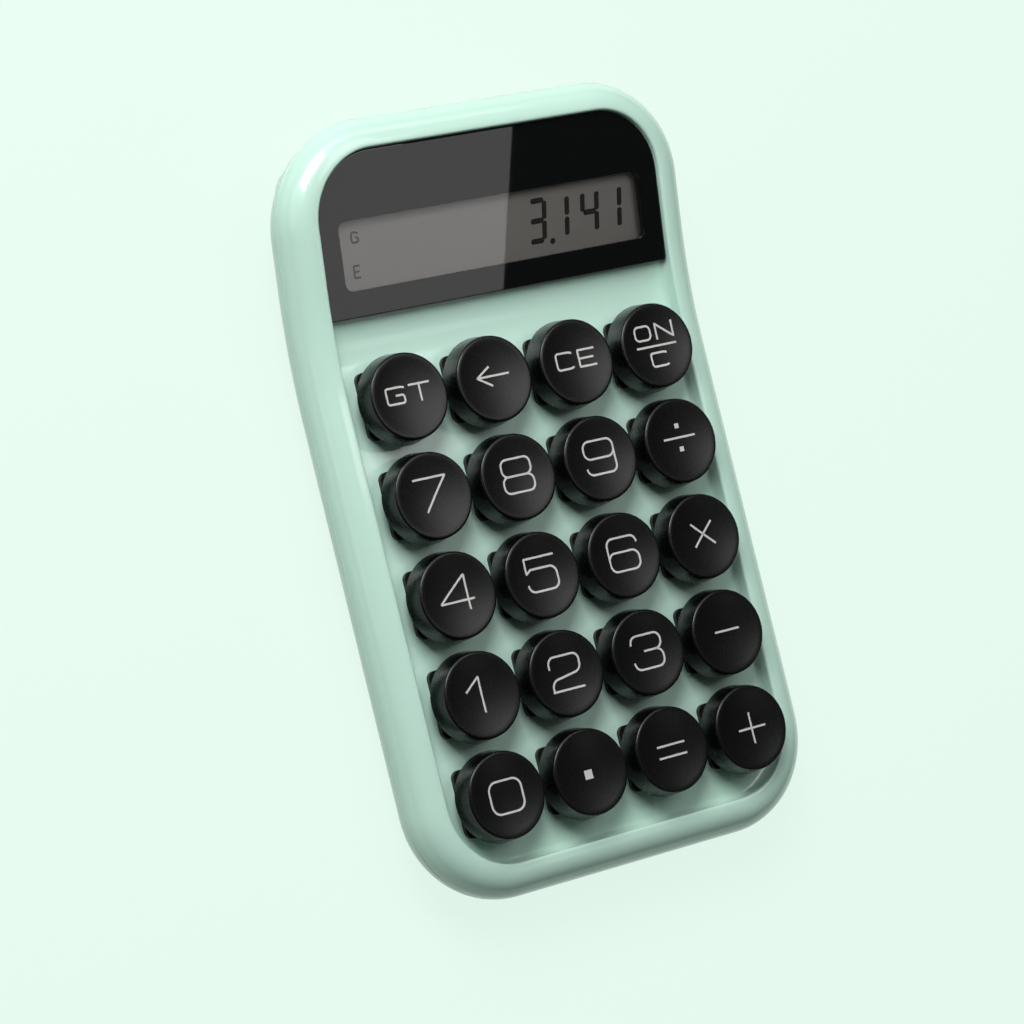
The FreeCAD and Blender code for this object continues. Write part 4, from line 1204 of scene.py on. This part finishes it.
@dataclass
class Keyboard:
    """Round caps and their printed legends."""

    grid: KeyGrid = KeyGrid()
    cap_bottom: float = 15.2
    cap_top: float = 20.0
    ceiling: float = 18.5
    base_radius: float = 9.2
    top_radius: float = 8.65
    skirt_bore: float = 8.0
    roof_bore: float = 7.45
    edge_round: float = 0.4
    edge_steps: int = 7
    foot_round: float = 0.2
    lip: float = 0.6
    dish: float = 0.45
    dish_cuts: int = 10
    steps: int = 96
    socket: tuple[float, float, float] = (4.0, 3.2, 16.2)
    socket_round: float = 0.15
    socket_sink: float = 0.2
    print_height: float = 0.02

    def places(self) -> dict[Key, Vector]:
        """Plan place of each key."""
        rows = reversed(self.grid.along())
        return dict(zip(Key, [Vector((x, y, 0)) for y in rows for x in self.grid.across()]))

    def sag(self, radius: float) -> float:
        """Fall of the dished top at a radius."""
        return self.dish * max(0.0, 1 - (radius / (self.top_radius - self.lip)) ** 2)

    def cap(self) -> BMesh:
        """One cap at the middle of the plan, turned from its section, with its socket.

        Returns:
            The mesh.
        """
        mesh = bmesh.new()
        foot, edge = (self.base_radius, self.cap_bottom), (self.top_radius, self.cap_top)
        section = [
            (0, self.ceiling), (self.roof_bore, self.ceiling), (self.skirt_bore, self.cap_bottom), foot,
            edge, (self.top_radius - self.lip, self.cap_top), (0, self.cap_top),
        ]
        verts = [mesh.verts.new((radius, 0, z)) for radius, z in section]
        for pair in zip(verts, verts[1:]):
            mesh.edges.new(pair)
        rounds = ((edge, self.edge_round, self.edge_steps), (foot, self.foot_round, EDGE_STEPS))
        for (radius, z), offset, count in rounds:
            spot = Vector((radius, 0, z))
            corner = min(mesh.verts, key=lambda v: (v.co - spot).length)
            round_off(mesh, [corner], offset, count)
        top = max(mesh.edges, key=lambda e: sum(v.co.z for v in e.verts) + e.calc_length())
        bmesh.ops.subdivide_edges(mesh, edges=[top], cuts=self.dish_cuts)
        for vert in mesh.verts:
            if vert.co.z > self.cap_top - CLOSE:
                vert.co.z -= self.sag(vert.co.x)
        bmesh.ops.spin(
            mesh, geom=mesh.verts[:] + mesh.edges[:], cent=(0, 0, 0), axis=(0, 0, 1), angle=2 * math.pi,
            steps=self.steps, use_merge=True,
        )
        bounded(mesh)
        x, y, low = self.socket
        block(mesh, (-x, -y, low), (x, y, self.ceiling + self.socket_sink), self.socket_round)
        return mesh

    def legend(self, key: Key, place: Vector) -> None:
        """Build the printed legend of a key.

        Args:
            key: Key to print.
            place: Its plan place.
        """
        mesh = bmesh.new()
        for stroke in LEGENDS[key]:
            stroke.draw(mesh, self.print_height)
        for vert in mesh.verts:
            vert.co.z += self.cap_top - self.sag(math.hypot(vert.co.x, vert.co.y))
        bmesh.ops.translate(mesh, vec=place, verts=mesh.verts[:])
        piece(f"legend_{key.value}", mesh, f"key_{key.value}", [PRINT])

    def build(self) -> None:
        """Build every cap and its legend."""
        master = self.cap()
        for key, place in self.places().items():
            name, body, node = f"cap_{key.value}", f"key_{key.value}", f"keycap_{key.value}"
            mesh = master.copy()
            bmesh.ops.translate(mesh, vec=place, verts=mesh.verts[:])
            piece(name, mesh, body, [CAP], [node], crease=40)
            self.legend(key, place)
        master.free()


# Nodes that keep their shape

FITTINGS: dict[str, Finish] = {
    "battery_door": MINT_UNDER,
    "lcd_panel": LCD,
    "lcd_frame": HOLDER,
    "main_board": BOARD,
    "controller_chip": CHIP,
    "ribbon_connector": PLUG,
    "display_ribbon": RIBBON,
    "switch_upper_housings": SWITCH,
    "switch_lower_housings": SWITCH,
    "switch_springs": STEEL,
    "switch_pins": PIN,
    "board_screws": SCREW,
    "case_screws": SCREW,
    "rubber_feet": RUBBER,
    "battery_cell": CELL,
    "battery_contacts": STEEL,
    "battery_leads": WIRE,
}


def dress_fittings() -> None:
    """Give each node that keeps its shape its own finish."""
    finishes = dict(FITTINGS)
    for key in Key:
        finishes[f"stem_{key.value}"] = STEM
    for name, finish in finishes.items():
        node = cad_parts[name]
        node.data.materials.clear()
        node.data.materials.append(finish.material())
        log.info("%s: %s", name, finish.name)


# Studio

@dataclass(frozen=True)
class Lamp:
    """Soft rectangular lamp.

    Attributes:
        place: Its middle in metres.
        aim: Point that it faces.
        glow: Brightness of its face, where 1 is white.
    """

    name: str
    place: Spot
    aim: Spot
    size: Point
    glow: float

    def build(self) -> None:
        """Hang the lamp."""
        data = bpy.data.lights.new(self.name, "AREA")
        data.shape = "RECTANGLE"
        data.size, data.size_y = self.size
        data.energy = self.glow * math.pi * self.size[0] * self.size[1]
        made = put(self.name, data)
        made.location = self.place
        made.rotation_euler = (Vector(self.aim) - Vector(self.place)).to_track_quat("-Z", "Y").to_euler()


LAMPS = (
    Lamp("window", (-0.26, 0.44, 0.5), (0, 0.03, 0.01), (0.36, 0.36), 11.5),
    Lamp("softbox", (0.315, 0.29, 0.9), (0.315, 0.291, 0), (0.43, 0.5), 3.0),
    Lamp("back_strip", (0.15, 0.85, 0.6), (0.15, 0, 0.01), (1.0, 0.2), 2.2),
    Lamp("lens_panel", (1.225, -0.556, 2.0), (1.236, -0.457, 0), (0.25, 0.3), 1.35),
    Lamp("left_strip", (-0.8, 0.3, 0.4), (0, 0, 0.01), (0.7, 0.25), 0.9),
    Lamp("right_strip", (0.8, 0.1, 0.2), (0, 0, 0.01), (0.5, 0.12), 0.4),
)


@dataclass
class Studio:
    """Pale floor, soft lamps in metres, and the camera in millimetres and radians."""

    eye: Spot = (-413.62, -21.58, 656.0)
    turn: Spot = (0.17035721, -0.53818325, -0.28032914)
    focal: float = 134.02
    sensor: float = 36.0
    far_metres: float = 50.0
    floor_half_metres: float = 6.0
    world_colour: Colour = linear(228, 246, 237)
    world_glow: float = 0.05

    def floor(self) -> None:
        """Lay a wide pale floor under the feet."""
        mesh = bmesh.new()
        bmesh.ops.create_grid(mesh, x_segments=1, y_segments=1, size=self.floor_half_metres)
        made = put("floor", stored("floor", mesh))
        made.data.materials.append(PAPER.material())

    def world(self) -> None:
        """Light everything dimly and evenly from all round."""
        world = bpy.data.worlds.new("studio")
        world.use_nodes = True
        shade = world.node_tree.nodes["Background"]
        shade.inputs["Color"].default_value = (*self.world_colour, 1)
        shade.inputs["Strength"].default_value = self.world_glow
        bpy.context.scene.world = world

    def camera(self) -> None:
        """Set up the camera at the photograph's angle."""
        data = bpy.data.cameras.new("camera")
        data.sensor_width = self.sensor
        data.lens = self.focal
        data.clip_end = self.far_metres
        made = put("camera", data)
        made.location = [part * MM for part in self.eye]
        made.rotation_euler = self.turn
        bpy.context.scene.camera = made

    def build(self) -> None:
        """Set the stage."""
        self.floor()
        self.world()
        for lamp in LAMPS:
            lamp.build()
        self.camera()
        bpy.context.scene.view_settings.view_transform = "Standard"


def main() -> None:
    """Build every piece in order, then the studio."""
    logging.basicConfig(level=logging.INFO, format="%(message)s")
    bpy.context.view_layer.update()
    form = CaseForm()
    UpperShell(form).build()
    LowerShell(form).build()
    display = Display(form)
    display.build_lens()
    display.build_figures()
    display.build_marks()
    Keyboard().build()
    dress_fittings()
    Studio().build()


if __name__ == "__main__":
    main()
